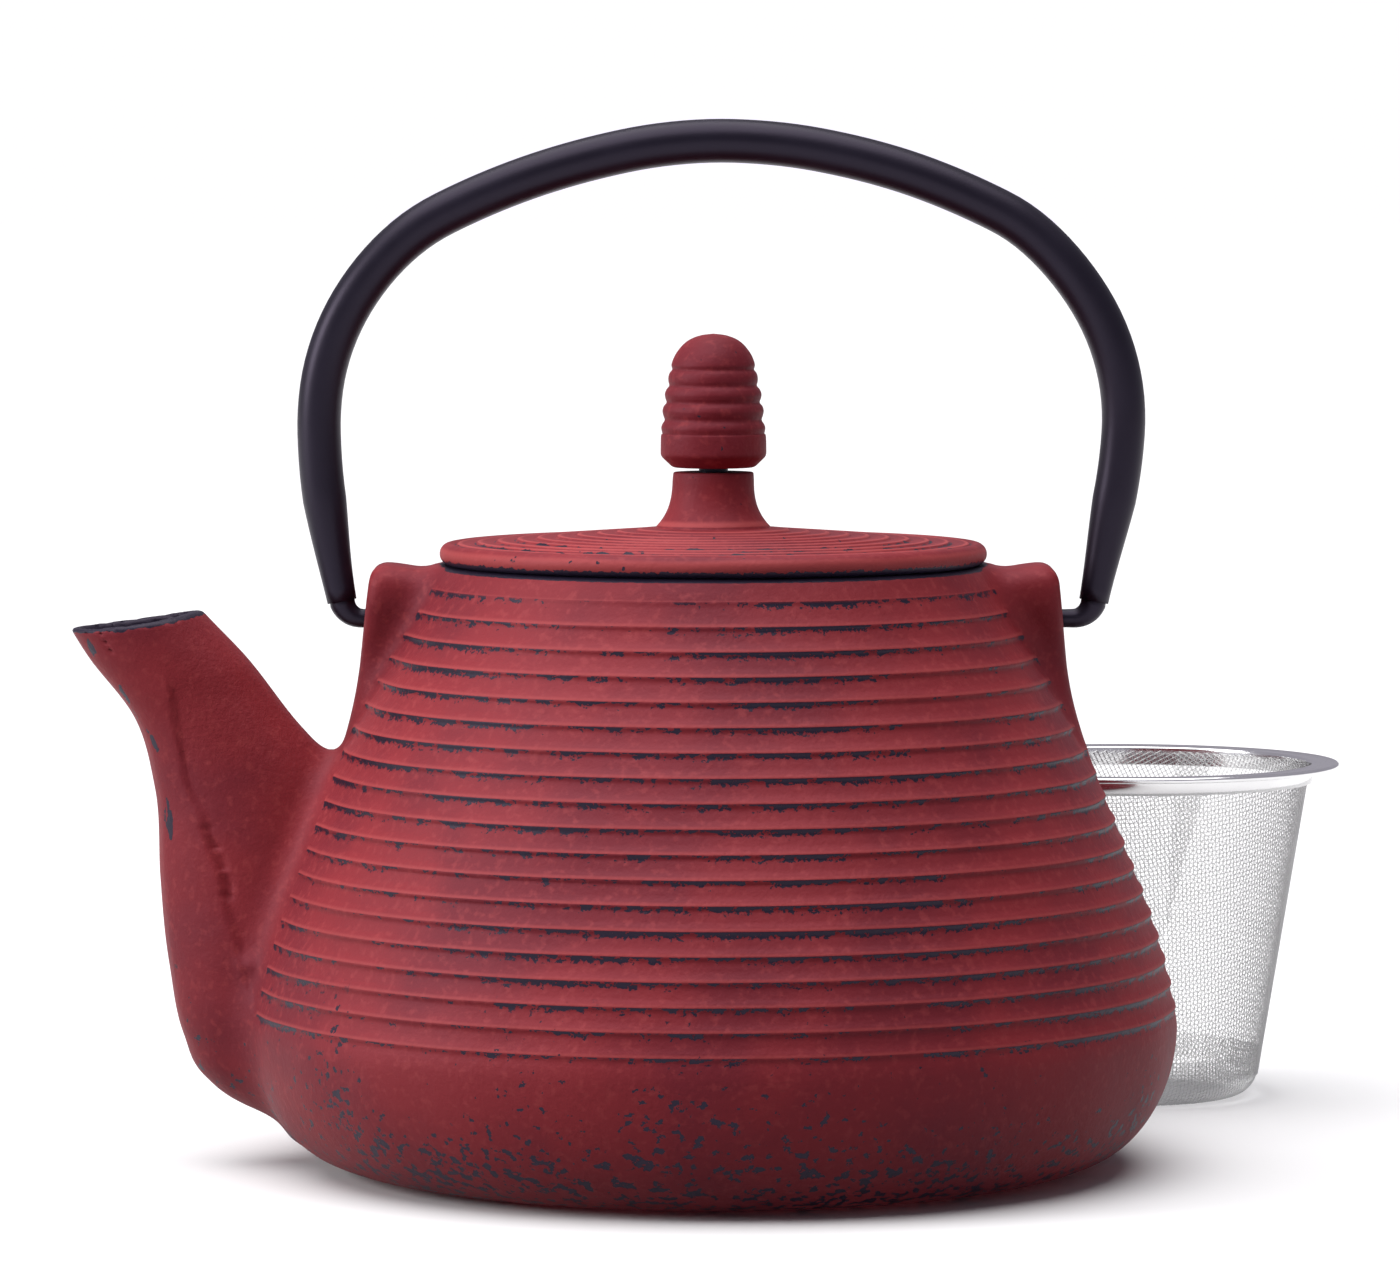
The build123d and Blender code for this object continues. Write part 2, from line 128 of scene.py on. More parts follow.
# --- Spout: height, outer edge, inner edge and half width of its level sections ---
SPOUT_SECTIONS = np.array([
    (4.0, -74.0, -62.0, 3.0),
    (8.0, -77.0, -62.0, 6.0),
    (11.0, -84.8, -62.0, 8.8),
    (16.0, -91.4, -62.0, 11.5),
    (23.5, -95.0, -62.0, 13.5),
    (36.0, -97.6, -62.0, 14.2),
    (52.0, -99.1, -62.0, 13.6),
    (68.0, -100.1, -65.0, 12.6),
    (80.5, -103.7, -75.3, 11.8),
    (91.5, -112.0, -83.9, 11.2),
    (97.5, -115.6, -89.6, 11.0),
    (104.0, -118.5, -95.6, 11.0),
])
PASSAGE_SECTIONS = np.array([
    (20.0, -88.0, -66.0, 8.0),
    (26.0, -91.7, -66.0, 10.2),
    (36.0, -94.3, -66.0, 10.9),
    (52.0, -95.8, -66.0, 10.3),
    (68.0, -96.8, -72.4, 9.3),
    (80.5, -100.4, -78.6, 8.8),
    (91.5, -110.0, -87.0, 9.4),
    (97.5, -113.9, -92.2, 9.5),
    (104.0, -116.9, -98.2, 9.5),
])
MOUTH_FRONT_X = -115.0
MOUTH_FRONT_HEIGHT = 96.5
MOUTH_BACK_X = -92.5
MOUTH_BACK_HEIGHT = 99.6
MOUTH_DIP = 0.4
PARTING_HEIGHTS = (18.0, 24.7, 38.0, 50.5, 61.5, 73.7, 86.3, 92.0)
PARTING_X = (-77.5, -80.3, -83.8, -86.9, -90.3, -94.6, -96.3, -97.0)
PARTING_STEP = 0.55
PIT_HEIGHTS = (49.5, 51.2, 52.6, 54.6, 56.1, 58.0, 59.3, 61.2)
PIT_DEPTH = 0.55
PIT_REACH = 0.75
LUMP_AT = (-82.6, 37.4)
LUMP_HEIGHT = 0.9
LUMP_REACH = 1.7

# --- Grid for the pot's surface: finer round the spout and the lugs, and under each crest ---
RADIUS_START = 20.0
RADIUS_END = 119.0
RADIUS_STEP = 0.85


def smoothstep(low, high, value):
    share = np.clip((value - low) / (high - low), 0, 1)
    return share * share * (3 - 2 * share)


def smooth_min(first, second, reach):
    share = np.clip(0.5 + 0.5 * (second - first) / reach, 0, 1)
    return second + (first - second) * share - reach * share * (1 - share)


def smooth_max(first, second, reach):
    return -smooth_min(-first, -second, reach)


def smooth_curve(places, values, at):
    """Smooth curve through a few points: a cubic between each pair, with the points' mean slopes."""
    places = np.asarray(places, float)
    values = np.asarray(values, float)
    slopes = np.gradient(values, places)
    index = np.clip(np.searchsorted(places, at) - 1, 0, len(places) - 2)
    width = places[index + 1] - places[index]
    share = np.clip((at - places[index]) / width, 0, 1)
    square = share * share
    cube = square * share
    start = (2 * cube - 3 * square + 1) * values[index] + (cube - 2 * square + share) * width * slopes[index]
    end = (3 * square - 2 * cube) * values[index + 1] + (cube - square) * width * slopes[index + 1]
    return start + end


def waves(x, y, z, length, seed, count=7):
    """Smooth random undulation between about -1 and 1: a sum of plane waves of one length."""
    draw = np.random.default_rng(seed)
    total = 0.0
    for _ in range(count):
        direction = draw.normal(size=3)
        direction *= 2 * math.pi / length / np.linalg.norm(direction) * draw.uniform(0.7, 1.3)
        total = total + np.sin(direction[0] * x + direction[1] * y + direction[2] * z + draw.uniform(0, 6.28))
    return total / math.sqrt(count)


def pot_radius(height):
    """Radius of the pot's outside over the crests of its ridges."""
    rise = np.clip((height - BELLY_HEIGHT) / (SHOULDER_HEIGHT - BELLY_HEIGHT), 0, 1.1)
    flank = BELLY_RADIUS - (BELLY_RADIUS - SHOULDER_RADIUS) * rise**FLANK_POWER
    sink = np.clip((BELLY_HEIGHT - height) / BELLY_HEIGHT, 0, 1)
    heel = FOOT_RADIUS + (BELLY_RADIUS - FOOT_RADIUS) * (1 - sink**2) ** HEEL_FULLNESS
    return np.where(height > BELLY_HEIGHT, flank, heel)


def cavity_radius(height):
    """Radius of the pot's hollow."""
    sink = np.clip((BELLY_HEIGHT - height) / (BELLY_HEIGHT - FLOOR), 0, 1)
    floor_edge = FOOT_RADIUS - WALL
    heel = floor_edge + (BELLY_RADIUS - WALL - floor_edge) * (1 - sink**2) ** HEEL_FULLNESS
    return np.where(height > BELLY_HEIGHT, pot_radius(height) - WALL, heel)


table_heights = np.linspace(-3, 112, 1151)


def with_slope(radius_at):
    """Table of a radius and of the share that turns a level distance from it into a true one."""
    radii = radius_at(table_heights)
    shares = 1 / np.sqrt(1 + np.gradient(radii, table_heights) ** 2)
    return radii, shares


outside_table = with_slope(pot_radius)
cavity_table = with_slope(cavity_radius)


def revolved(table, radius, height):
    """Distance from a surface of revolution that is given by a table."""
    radii, shares = table
    edge = np.interp(height, table_heights, radii)
    return (radius - edge) * np.interp(height, table_heights, shares)


def oval_tube(sections, x, y, height):
    """Distance from a tube whose level sections are ovals."""
    at = np.clip(height, sections[0, 0], sections[-1, 0])
    outer = smooth_curve(sections[:, 0], sections[:, 1], at)
    inner = smooth_curve(sections[:, 0], sections[:, 2], at)
    half_width = smooth_curve(sections[:, 0], sections[:, 3], at)
    half_length = (inner - outer) / 2
    middle = (inner + outer) / 2
    along = (x - middle) / half_length
    across = y / half_width
    reach = np.sqrt(along**2 + across**2) + 1e-6
    rate = np.sqrt((along / half_length) ** 2 + (across / half_width) ** 2) + 1e-6
    return reach * (reach - 1) / rate


def mouth_plane(x, y, height):
    """Height over the spout's mouth, which slopes up towards the pot and dips a little at both sides."""
    share = (x - MOUTH_FRONT_X) / (MOUTH_BACK_X - MOUTH_FRONT_X)
    level = MOUTH_FRONT_HEIGHT + (MOUTH_BACK_HEIGHT - MOUTH_FRONT_HEIGHT) * share
    return height - level + MOUTH_DIP * np.clip(np.abs(y) / 10, 0, 1.2) ** 2


def spout_field(x, y, height):
    """Outside of the spout, with the step of its parting line along both sides."""
    tube = 0.85 * oval_tube(SPOUT_SECTIONS, x, y, height)
    line = smooth_curve(PARTING_HEIGHTS, PARTING_X, np.clip(height, PARTING_HEIGHTS[0], PARTING_HEIGHTS[-1]))
    shown = smoothstep(20, 30, height) * (1 - smoothstep(84, 90, height))
    wobble = 0.5 * waves(x, y, height, 9, 3, 4)
    sides = smoothstep(3, 6, np.abs(y))
    tube = tube + PARTING_STEP * shown * sides * (smoothstep(-0.6, 0.6, x - line + wobble) - 0.4)
    for pit_height in PIT_HEIGHTS:
        pit_x = np.interp(pit_height, PARTING_HEIGHTS, PARTING_X) + 0.7 + 0.5 * math.sin(9 * pit_height)
        away = ((x - pit_x) ** 2 + (height - pit_height) ** 2) / PIT_REACH**2
        tube = tube + PIT_DEPTH * sides * np.exp(-np.minimum(away, 30))
    away = ((x - LUMP_AT[0]) ** 2 + (height - LUMP_AT[1]) ** 2) / LUMP_REACH**2
    tube = tube - LUMP_HEIGHT * sides * np.exp(-np.minimum(away, 30))
    tube = smooth_max(tube, 5.0 - height, 3)
    return smooth_max(tube, mouth_plane(x, y, height), 1.0)


def lug_field(side, x, y, height):
    """One lug: thick at the top, then drawn in to a fin that runs out on the flank."""
    out = side * x
    half_width = smooth_curve(LUG_HEIGHTS, LUG_HALF_WIDTHS, np.clip(height, LUG_HEIGHTS[0], LUG_HEIGHTS[-1]))
    face = out - LUG_FACE + LUG_LEAN * (height - PIVOT_HEIGHT)
    top = height - LUG_TOP - LUG_TOP_SLOPE * (out - LUG_TOP_AT)
    block = smooth_max(np.abs(y) - half_width, face, LUG_ROUND)
    block = smooth_max(block, top, LUG_ROUND + 1.0)
    block = np.maximum(block, LUG_INNER - out)
    block = np.maximum(block, LUG_HEIGHTS[0] - 4 - height)
    hole = np.maximum(np.sqrt(y**2 + (height - PIVOT_HEIGHT) ** 2) - PIN_HOLE_RADIUS, PIN_HOLE_END - out)
    hole = np.maximum(hole, out - PIN_HOLE_START)
    return block, hole


def ridge_depth(height):
    """Depth under the crests: a quick step in below each one, and then a band that leans out to the next."""
    below = np.mod(TOP_CREST - height, RIDGE_PITCH)
    lip = smoothstep(RIDGE_PITCH - RIDGE_LIP, RIDGE_PITCH - 0.15, below)
    step = smoothstep(0, RIDGE_STEP, below) * (1 - 0.45 * below / RIDGE_PITCH - 0.55 * lip)
    fade = smoothstep(RIDGE_FADE_LOW, RIDGE_FADE_HIGH, height) * (height < TOP_CREST)
    fade = fade * (0.4 + 0.6 * smoothstep(0, TOP_RIDGES_SOFT, TOP_CREST - height))
    return RIDGE_DEPTH * step * fade


def cavity_field(x, y, radius, height):
    """Hollow of the pot, its mouth and the spout's passage."""
    belly = revolved(cavity_table, radius, height)
    belly = np.maximum(np.maximum(belly, FLOOR - height), height - LEDGE_BOTTOM)
    neck = np.maximum(radius - NECK_RADIUS, LEDGE_BOTTOM - 4 - height)
    rebate = np.maximum(radius - REBATE_RADIUS, LEDGE_TOP - height)
    passage = 0.85 * oval_tube(PASSAGE_SECTIONS, x, y, height)
    passage = np.maximum(passage, PASSAGE_SECTIONS[0, 0] - height)
    return np.minimum(smooth_min(belly, passage, 2.0), np.minimum(neck, rebate))


def pot_fields(x, y, height):
    """Distance from the casting's surface, with the parts of it that the paint needs."""
    radius = np.sqrt(x**2 + y**2)
    spout = spout_field(x, y, height)
    lugs = [lug_field(side, x, y, height) for side in (-1, 1)]
    lug = np.minimum(lugs[0][0], lugs[1][0])
    holes = np.minimum(lugs[0][1], lugs[1][1])
    ridges_shown = smoothstep(1.5, 8, spout) * smoothstep(0.5, 5, lug)
    body = revolved(outside_table, radius, height) + ridge_depth(height) * ridges_shown
    body = smooth_max(body, height - SHOULDER_HEIGHT, 1.2)
    solid = smooth_min(body, lug, 4.5)
    solid = smooth_min(solid, spout, 5.5)
    solid = smooth_max(solid, mouth_plane(x, y, height) - 1000 * (x > -88), 0.6)
    solid = smooth_max(solid, -height, 1.0)
    lid_space = np.maximum(SHOULDER_HEIGHT - height, radius - LID_SPACE_RADIUS)
    cavity = cavity_field(x, y, radius, height)
    solid = np.maximum(solid, -lid_space)
    solid = smooth_max(solid, -cavity, 0.7)
    solid = np.maximum(solid, -holes)
    return solid, cavity, ridges_shown


def pot_grid_axes():
    """Angles, radii and heights of the grid."""
    angle = -math.pi
    angles = []
    while angle < math.pi - 1e-6:
        angles.append(angle)
        near_spout = abs(abs(angle) - math.pi) < math.radians(22)
        near_lug = abs(angle) < math.radians(13)
        angle += math.radians(0.6 if near_spout or near_lug else 1.2)
    angles = np.array(angles)
    angles = -math.pi + (angles + math.pi) * 2 * math.pi / (angle + math.pi)
    radii = np.arange(RADIUS_START, RADIUS_END, RADIUS_STEP)
    below_crest = (0.02, 0.25, 0.5, 0.8, 1.4, 2.2, 3.0, 3.6)
    ridge_rows = [TOP_CREST - RIDGE_PITCH * n - drop for n in range(RIDGE_COUNT) for drop in below_crest]
    low_rows = np.concatenate([np.arange(-0.9, 9, 0.6), np.arange(9, min(ridge_rows) - 0.4, 0.9)])
    high_rows = np.arange(TOP_CREST + 0.4, LUG_TOP + 2.5, 0.5)
    heights = np.concatenate([low_rows, sorted(ridge_rows), high_rows])
    return angles, radii, heights


def surface_net(field):
    """Quads through the zero of a field on a grid that closes on itself along its first axis.
    Gives each vertex's place in grid steps, the quads, and the vertex number of each grid cell."""
    field_next = np.concatenate([field, field[:1]], axis=0)
    inside = field_next < 0
    cells = np.array(field.shape) - (0, 1, 1)
    corners = [(a, b, c) for a in (0, 1) for b in (0, 1) for c in (0, 1)]

    def corner(values, shift):
        return values[
            shift[0]:shift[0] + cells[0], shift[1]:shift[1] + cells[1], shift[2]:shift[2] + cells[2]
        ]

    count = sum(corner(inside, shift).astype(np.int8) for shift in corners)
    active = (count > 0) & (count < 8)
    number = np.full(cells, -1, np.int64)
    number[active] = np.arange(active.sum())
    where = np.argwhere(active)
    values = {shift: corner(field_next, shift)[active] for shift in corners}
    total = np.zeros((len(where), 3))
    crossings = np.zeros(len(where))
    for first in corners:
        for axis in range(3):
            if first[axis] == 1:
                continue
            second = tuple(1 if n == axis else first[n] for n in range(3))
            low, high = values[first], values[second]
            crossed = (low < 0) != (high < 0)
            share = np.where(crossed, low / np.where(crossed, low - high, 1), 0)
            place = np.array(first, float)[None, :] + share[:, None] * (np.array(second) - np.array(first))
            total += place * crossed[:, None]
            crossings += crossed
    points = where + total / crossings[:, None]
    quads = []
    for axis in range(3):
        others = [n for n in range(3) if n != axis]
        ahead = tuple(1 if n == axis else 0 for n in range(3))
        size = cells.copy()
        here = inside[:size[0], :size[1], :size[2]]
        there = inside[ahead[0]:ahead[0] + size[0], ahead[1]:ahead[1] + size[1], ahead[2]:ahead[2] + size[2]]
        crossed = here != there
        edges = np.argwhere(crossed)
        edges = edges[(edges[:, others] > 0).all(axis=1) | (others[0] == 0) & (edges[:, others[1]] > 0)]
        ring = []
        for back in ((1, 1), (0, 1), (0, 0), (1, 0)):
            cell = edges.copy()
            cell[:, others[0]] -= back[0]
            cell[:, others[1]] -= back[1]
            ring.append(number[cell[:, 0] % cells[0], cell[:, 1], cell[:, 2]])
        ring = np.stack(ring, axis=1)
        leaving = inside[edges[:, 0], edges[:, 1], edges[:, 2]]
        flip = leaving if axis != 1 else ~leaving
        ring[~flip] = ring[~flip][:, ::-1]
        quads.append(ring)
    return points, np.concatenate(quads), number


def add_mesh(name, vertices, faces, body, material, smooth=True):
    """Mesh piece from millimetre vertices that rides on a body."""
    data = bpy.data.meshes.new(name)
    data.from_pydata((np.asarray(vertices) * MM).tolist(), [], [list(map(int, face)) for face in faces])
    data.validate()
    if smooth:
        data.shade_smooth()
    piece = bpy.data.objects.new(name, data)
    bpy.context.collection.objects.link(piece)
    data.materials.append(material)
    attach(piece, body)
    return piece


def set_mask(piece, name, values):
    """Number for each vertex that the material reads by name."""
    attribute = piece.data.attributes.new(name, "FLOAT", "POINT")
    attribute.data.foreach_set("value", np.asarray(values, np.float32))


def build_pot(material):
    """The casting: its fields on the grid, a net of quads, and each vertex moved onto the true surface."""
    angles, radii, heights = pot_grid_axes()
    grid_x = (radii[None, :] * np.cos(angles)[:, None])[:, :, None].astype(np.float32)
    grid_y = (radii[None, :] * np.sin(angles)[:, None])[:, :, None].astype(np.float32)
    field = pot_fields(grid_x, grid_y, heights[None, None, :].astype(np.float32))[0]
    points, quads, number = surface_net(field)

    turn = np.interp(points[:, 0], np.arange(len(angles) + 1), np.append(angles, angles[0] + 2 * math.pi))
    reach = np.interp(points[:, 1], np.arange(len(radii)), radii)
    height = np.interp(points[:, 2], np.arange(len(heights)), heights)
    place = np.stack([reach * np.cos(turn), reach * np.sin(turn), height], axis=1)
    nudge = 0.02
    for _ in range(3):
        value = pot_fields(*place.T)[0]
        slope = np.stack([
            pot_fields(*(place + nudge * np.eye(3)[axis]).T)[0] - value for axis in range(3)
        ], axis=1) / nudge
        move = -value[:, None] * slope / np.maximum((slope**2).sum(axis=1), 0.05)[:, None]
        place += np.clip(move, -0.35, 0.35)

    # The grid starts a little way from the axis: the floor's two rings are closed with fans.
    faces = [tuple(quad) for quad in quads]
    rings = [[], []]
    for turn_number in range(number.shape[0]):
        found = [n for n in number[turn_number, 0] if n >= 0]
        rings[0].append(found[0])
        rings[1].append(found[-1])
    for ring, level in ((rings[0], 0.0), (rings[1], FLOOR)):
        centre = len(place)
        place = np.vstack([place, (0, 0, level)])
        for n, first in enumerate(ring):
            second = ring[(n + 1) % len(ring)]
            faces.append((first, centre, second) if level == 0 else (second, centre, first))

    _, cavity, ridges_shown = pot_fields(*place.T)
    x, y, z = place.T
    outward = np.clip(waves(x, y, z, 22, 5), -1.5, 1.5) * 0.12
    outside = smoothstep(1.0, 2.5, cavity) * smoothstep(0.5, 3, z) * (1 - smoothstep(105, 107.5, z))
    level = np.sqrt(x**2 + y**2) + 1e-6
    place[:, 0] += outward * outside * x / level
    place[:, 1] += outward * outside * y / level

    piece = add_mesh("pot_casting", place, faces, "pot", material)
    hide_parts("pot_body")
    lip = smoothstep(-1.5, -0.3, mouth_plane(x, y, z)) * (x < -90)
    collar = smoothstep(105.9, 107.3, z) * (level < 48.9)
    outer_edge = smooth_curve(SPOUT_SECTIONS[:, 0], SPOUT_SECTIONS[:, 1], np.clip(z, 4, 104))
    inward = x - outer_edge
    edge = smoothstep(0.2, 1.2, inward) * (1 - smoothstep(2.6, 5.0, inward))
    edge = edge * smoothstep(50, 62, z) * (x < -80)
    rough = smoothstep(-97, -92, x) * smoothstep(66, 78, z) * (x < -70)
    set_mask(piece, "edge", edge)
    set_mask(piece, "rough", rough)
    set_mask(piece, "enamel", np.maximum(1 - smoothstep(0.1, 0.7, cavity), np.maximum(lip, collar)))
    set_mask(piece, "ridges", ridges_shown)
    return piece


# --- Materials: a small helper for node trees, then one function for each finish ---
class Tree:
    """Node tree of a new material, with short calls for the nodes that are used here."""

    def __init__(self, name):
        self.material = bpy.data.materials.new(name)
        self.material.use_nodes = True
        self.nodes = self.material.node_tree.nodes
        self.links = self.material.node_tree.links
        self.shader = self.nodes["Principled BSDF"]
        place = self.nodes.new("ShaderNodeTexCoord")
        self.place = place.outputs["Object"]
        split = self.nodes.new("ShaderNodeSeparateXYZ")
        self.links.new(self.place, split.inputs[0])
        self.x, self.y, self.z = split.outputs

    def put(self, socket, value):
        if hasattr(value, "links"):
            self.links.new(value, socket)
        else:
            socket.default_value = value

    def math(self, operation, first, second=0.0, third=0.0, clamp=False):
        node = self.nodes.new("ShaderNodeMath")
        node.operation = operation
        node.use_clamp = clamp
        for socket, value in zip(node.inputs, (first, second, third)):
            self.put(socket, value)
        return node.outputs[0]

    def ramp(self, value, low, high):
        """0 below low and 1 above high, smooth between them. low may be the greater."""
        node = self.nodes.new("ShaderNodeMapRange")
        node.interpolation_type = "SMOOTHSTEP"
        flipped = low > high
        self.put(node.inputs["Value"], value)
        self.put(node.inputs["From Min"], high if flipped else low)
        self.put(node.inputs["From Max"], low if flipped else high)
        self.put(node.inputs["To Min"], 1.0 if flipped else 0.0)
        self.put(node.inputs["To Max"], 0.0 if flipped else 1.0)
        return node.outputs["Result"]

    def noise(self, size, detail=2.0, stretch=(1, 1, 1), shift=0.0, rough=0.5):
        """Noise whose features are about size millimetres across."""
        mapping = self.nodes.new("ShaderNodeMapping")
        mapping.inputs["Scale"].default_value = stretch
        mapping.inputs["Location"].default_value = (shift, shift * 0.7, shift * 1.3)
        self.links.new(self.place, mapping.inputs["Vector"])
        node = self.nodes.new("ShaderNodeTexNoise")
        node.inputs["Scale"].default_value = 1 / (size * MM)
        node.inputs["Detail"].default_value = detail
        node.inputs["Roughness"].default_value = rough
        self.links.new(mapping.outputs[0], node.inputs["Vector"])
        return node.outputs["Fac"]

    def mask(self, name):
        node = self.nodes.new("ShaderNodeAttribute")
        node.attribute_name = name
        return node.outputs["Fac"]

    def mix(self, share, first, second):
        node = self.nodes.new("ShaderNodeMix")
        node.data_type = "RGBA"
        self.put(node.inputs["Factor"], share)
        for socket, value in zip((node.inputs[6], node.inputs[7]), (first, second)):
            self.put(socket, value)
        return node.outputs[2]

    def blend(self, share, first, second):
        """Number between two numbers."""
        node = self.nodes.new("ShaderNodeMix")
        self.put(node.inputs["Factor"], share)
        self.put(node.inputs[2], first)
        self.put(node.inputs[3], second)
        return node.outputs[0]

    def bump(self, height, distance, strength=1.0, normal=None):
        node = self.nodes.new("ShaderNodeBump")
        self.put(node.inputs["Strength"], strength)
        self.put(node.inputs["Distance"], distance * MM)
        self.put(node.inputs["Height"], height)
        if normal is not None:
            self.links.new(normal, node.inputs["Normal"])
        return node.outputs[0]

    def finish(self, **inputs):
        for name, value in inputs.items():
            self.put(self.shader.inputs[name.replace("_", " ")], value)
        return self.material


RED = (0.262, 0.0215, 0.0265, 1)
# Paler red: random speckle in the paint, and also the painted highlight along crests.
RED_PALE_AND_HIGHLIGHT = (0.42, 0.062, 0.062, 1)
RED_DARK = (0.185, 0.014, 0.021, 1)
ENAMEL = (0.011, 0.007, 0.019, 1)


def paint(tree, bare, edge=None, rough=None):
    """Matt brick-red spray paint over black enamel, which shows where bare is 1; edge lightens the red there
    as a painted highlight.
    """
    cloud = tree.noise(26, 3, shift=0.3)
    fine = tree.noise(1.6, 3, shift=0.9)
    colour = tree.mix(tree.ramp(cloud, 0.38, 0.66), RED, RED_DARK)
    colour = tree.mix(tree.math("MULTIPLY", tree.ramp(fine, 0.5, 0.75), 0.35), colour, RED_PALE_AND_HIGHLIGHT)
    # Painted highlight: where edge is set, the red is mixed towards a paler red.
    if edge is not None:
        colour = tree.mix(edge, colour, RED_PALE_AND_HIGHLIGHT)
    colour = tree.mix(bare, colour, ENAMEL)
    roughness = tree.blend(bare, 0.6, 0.48)
    tree.shader.inputs["Specular IOR Level"].default_value = 0.3
    tree.shader.inputs["Specular Tint"].default_value = (0.95, 0.82, 1.0, 1)
    grain = tree.noise(0.75, 3, shift=2.1, rough=0.6)
    lumps = tree.noise(3.2, 2, shift=4.2)
    grain_strength = 0.55 if rough is None else tree.blend(rough, 0.55, 1.0)
    normal = tree.bump(grain, 0.15, grain_strength)
    normal = tree.bump(lumps, 0.22, 0.5, normal)
    normal = tree.bump(tree.math("SUBTRACT", 1.0, bare), 0.07, 0.9, normal)
    return tree.finish(Base_Color=colour, Roughness=roughness, Normal=normal)


def pot_paint():
    """Paint of the pot: bare in dashes under the crests, in specks low on the belly, and inside."""
    tree = Tree("pot_paint")
    pitch = RIDGE_PITCH * MM
    below = tree.math("MODULO", tree.math("SUBTRACT", TOP_CREST * MM + 30 * pitch, tree.z), pitch)
    dashes = tree.noise(3.3, 3, stretch=(1, 1, 2.2), shift=1.7, rough=0.65)
    regions = tree.noise(34, 1, stretch=(1, 1, 1.6), shift=5.0)
    ragged = tree.noise(0.75, 3, shift=3.3, rough=0.6)
    drop = tree.math("MULTIPLY_ADD", tree.math("SUBTRACT", dashes, 0.5), 5.6, 0.2)
    drop = tree.math("MULTIPLY_ADD", tree.math("SUBTRACT", regions, 0.5), 3.2, drop)
    drop = tree.math("MINIMUM", drop, 0.7)
    drop = tree.math("MULTIPLY_ADD", tree.math("SUBTRACT", ragged, 0.5), 2.3, drop)
    depth = tree.math("MULTIPLY", tree.math("MAXIMUM", drop, -0.2), 1.6 * MM)
    past_crest = tree.math("GREATER_THAN", below, 0.06 * MM)
    under = tree.math("MULTIPLY", tree.math("LESS_THAN", below, depth), past_crest)
    on_ridges = tree.math("MULTIPLY", tree.ramp(tree.z, 0.0268, 0.0278), tree.ramp(tree.z, 0.1045, 0.1035))
    on_ridges = tree.math("MULTIPLY", on_ridges, tree.math("GREATER_THAN", tree.mask("ridges"), 0.35))
    under = tree.math("MULTIPLY", under, on_ridges)

    speck_noise = tree.noise(1.9, 3, stretch=(1, 1, 1.15), shift=7.7, rough=0.55)
    clusters = tree.noise(26, 1, shift=9.1)
    limit = tree.blend(tree.ramp(tree.z, 0.001, 0.033), 0.56, 0.71)
    limit = tree.math("MULTIPLY_ADD", tree.math("SUBTRACT", clusters, 0.5), -0.30, limit)
    specks = tree.math("GREATER_THAN", speck_noise, limit)
    specks = tree.math("MULTIPLY", specks, tree.ramp(tree.z, 0.040, 0.034))

    edge_noise = tree.noise(1.4, 2, shift=6.0)
    wander = tree.math("MULTIPLY", tree.math("SUBTRACT", edge_noise, 0.5), 1.1)
    lined = tree.math("ADD", tree.mask("enamel"), wander)
    lined = tree.math("GREATER_THAN", lined, 0.5)

    worn = tree.math("MULTIPLY", tree.mask("edge"), tree.noise(3.4, 3, stretch=(1, 1, 0.6), shift=11.0))
    worn = tree.math("GREATER_THAN", worn, 0.56)
    bare = tree.math("MAXIMUM", tree.math("MAXIMUM", under, specks), tree.math("MAXIMUM", lined, worn))
    # Painted highlight: a paler red band just above each crest, where the rounded crest catches the light;
    # paint gets it as edge.
    crest = tree.ramp(below, (RIDGE_PITCH - 0.75) * MM, (RIDGE_PITCH - 0.1) * MM)
    crest = tree.math("MULTIPLY", crest, on_ridges)
    return paint(tree, bare, tree.math("MULTIPLY", crest, 0.7), tree.mask("rough"))


def cast_paint(name, low_edge, high_edge, edge_size=1.2, rings=None):
    """Paint of the lid and knob: bare below a ragged line between two heights, with a few chips."""
    tree = Tree(name)
    ragged = tree.noise(edge_size, 3, shift=2.5)
    line = tree.blend(ragged, low_edge * MM, high_edge * MM)
    low = tree.math("LESS_THAN", tree.z, line)
    chips = tree.math("GREATER_THAN", tree.noise(1.7, 2, shift=8.2), 0.735)
    bare = tree.math("MAXIMUM", low, chips)
    if rings is None:
        return paint(tree, bare)
    outer, inner, count = rings
    squares = [tree.math("POWER", axis, 2.0) for axis in (tree.x, tree.y)]
    level = tree.math("SQRT", tree.math("ADD", *squares))
    pitch = (outer - inner) / count * MM
    past = tree.math("MODULO", tree.math("SUBTRACT", (outer + 0.25) * MM + pitch, level), pitch)
    # Enamel-black near the foot of each outer ring's riser, broken up by noise: partly bare enamel, partly
    # painted shade in the valley.
    depth = tree.math("MULTIPLY", tree.math("SUBTRACT", tree.noise(3.2, 3, shift=6.6), 0.41), 2.6 * MM)
    dark = tree.math("LESS_THAN", past, depth)
    dark = tree.math("MULTIPLY", dark, tree.math("GREATER_THAN", level, inner * MM))
    dark = tree.math("MULTIPLY", dark, tree.math("LESS_THAN", level, (outer + 0.6) * MM))
    dark = tree.math("MULTIPLY", dark, tree.math("GREATER_THAN", tree.z, LID_RIM_TOP * MM - 0.0009))
    dark_valleys_outside = (outer - 3.4 * (outer - inner) / count) * MM
    dark = tree.math("MULTIPLY", dark, tree.math("GREATER_THAN", level, dark_valleys_outside))
    # Painted highlight: a paler red on the top of each ring's riser, where it catches the light.
    crest = tree.ramp(past, 0.5 * MM, 0.65 * MM)
    crest = tree.math("MULTIPLY", crest, tree.ramp(past, 1.6 * MM, 1.0 * MM))
    return paint(tree, tree.math("MAXIMUM", bare, dark), tree.math("MULTIPLY", crest, 0.95))


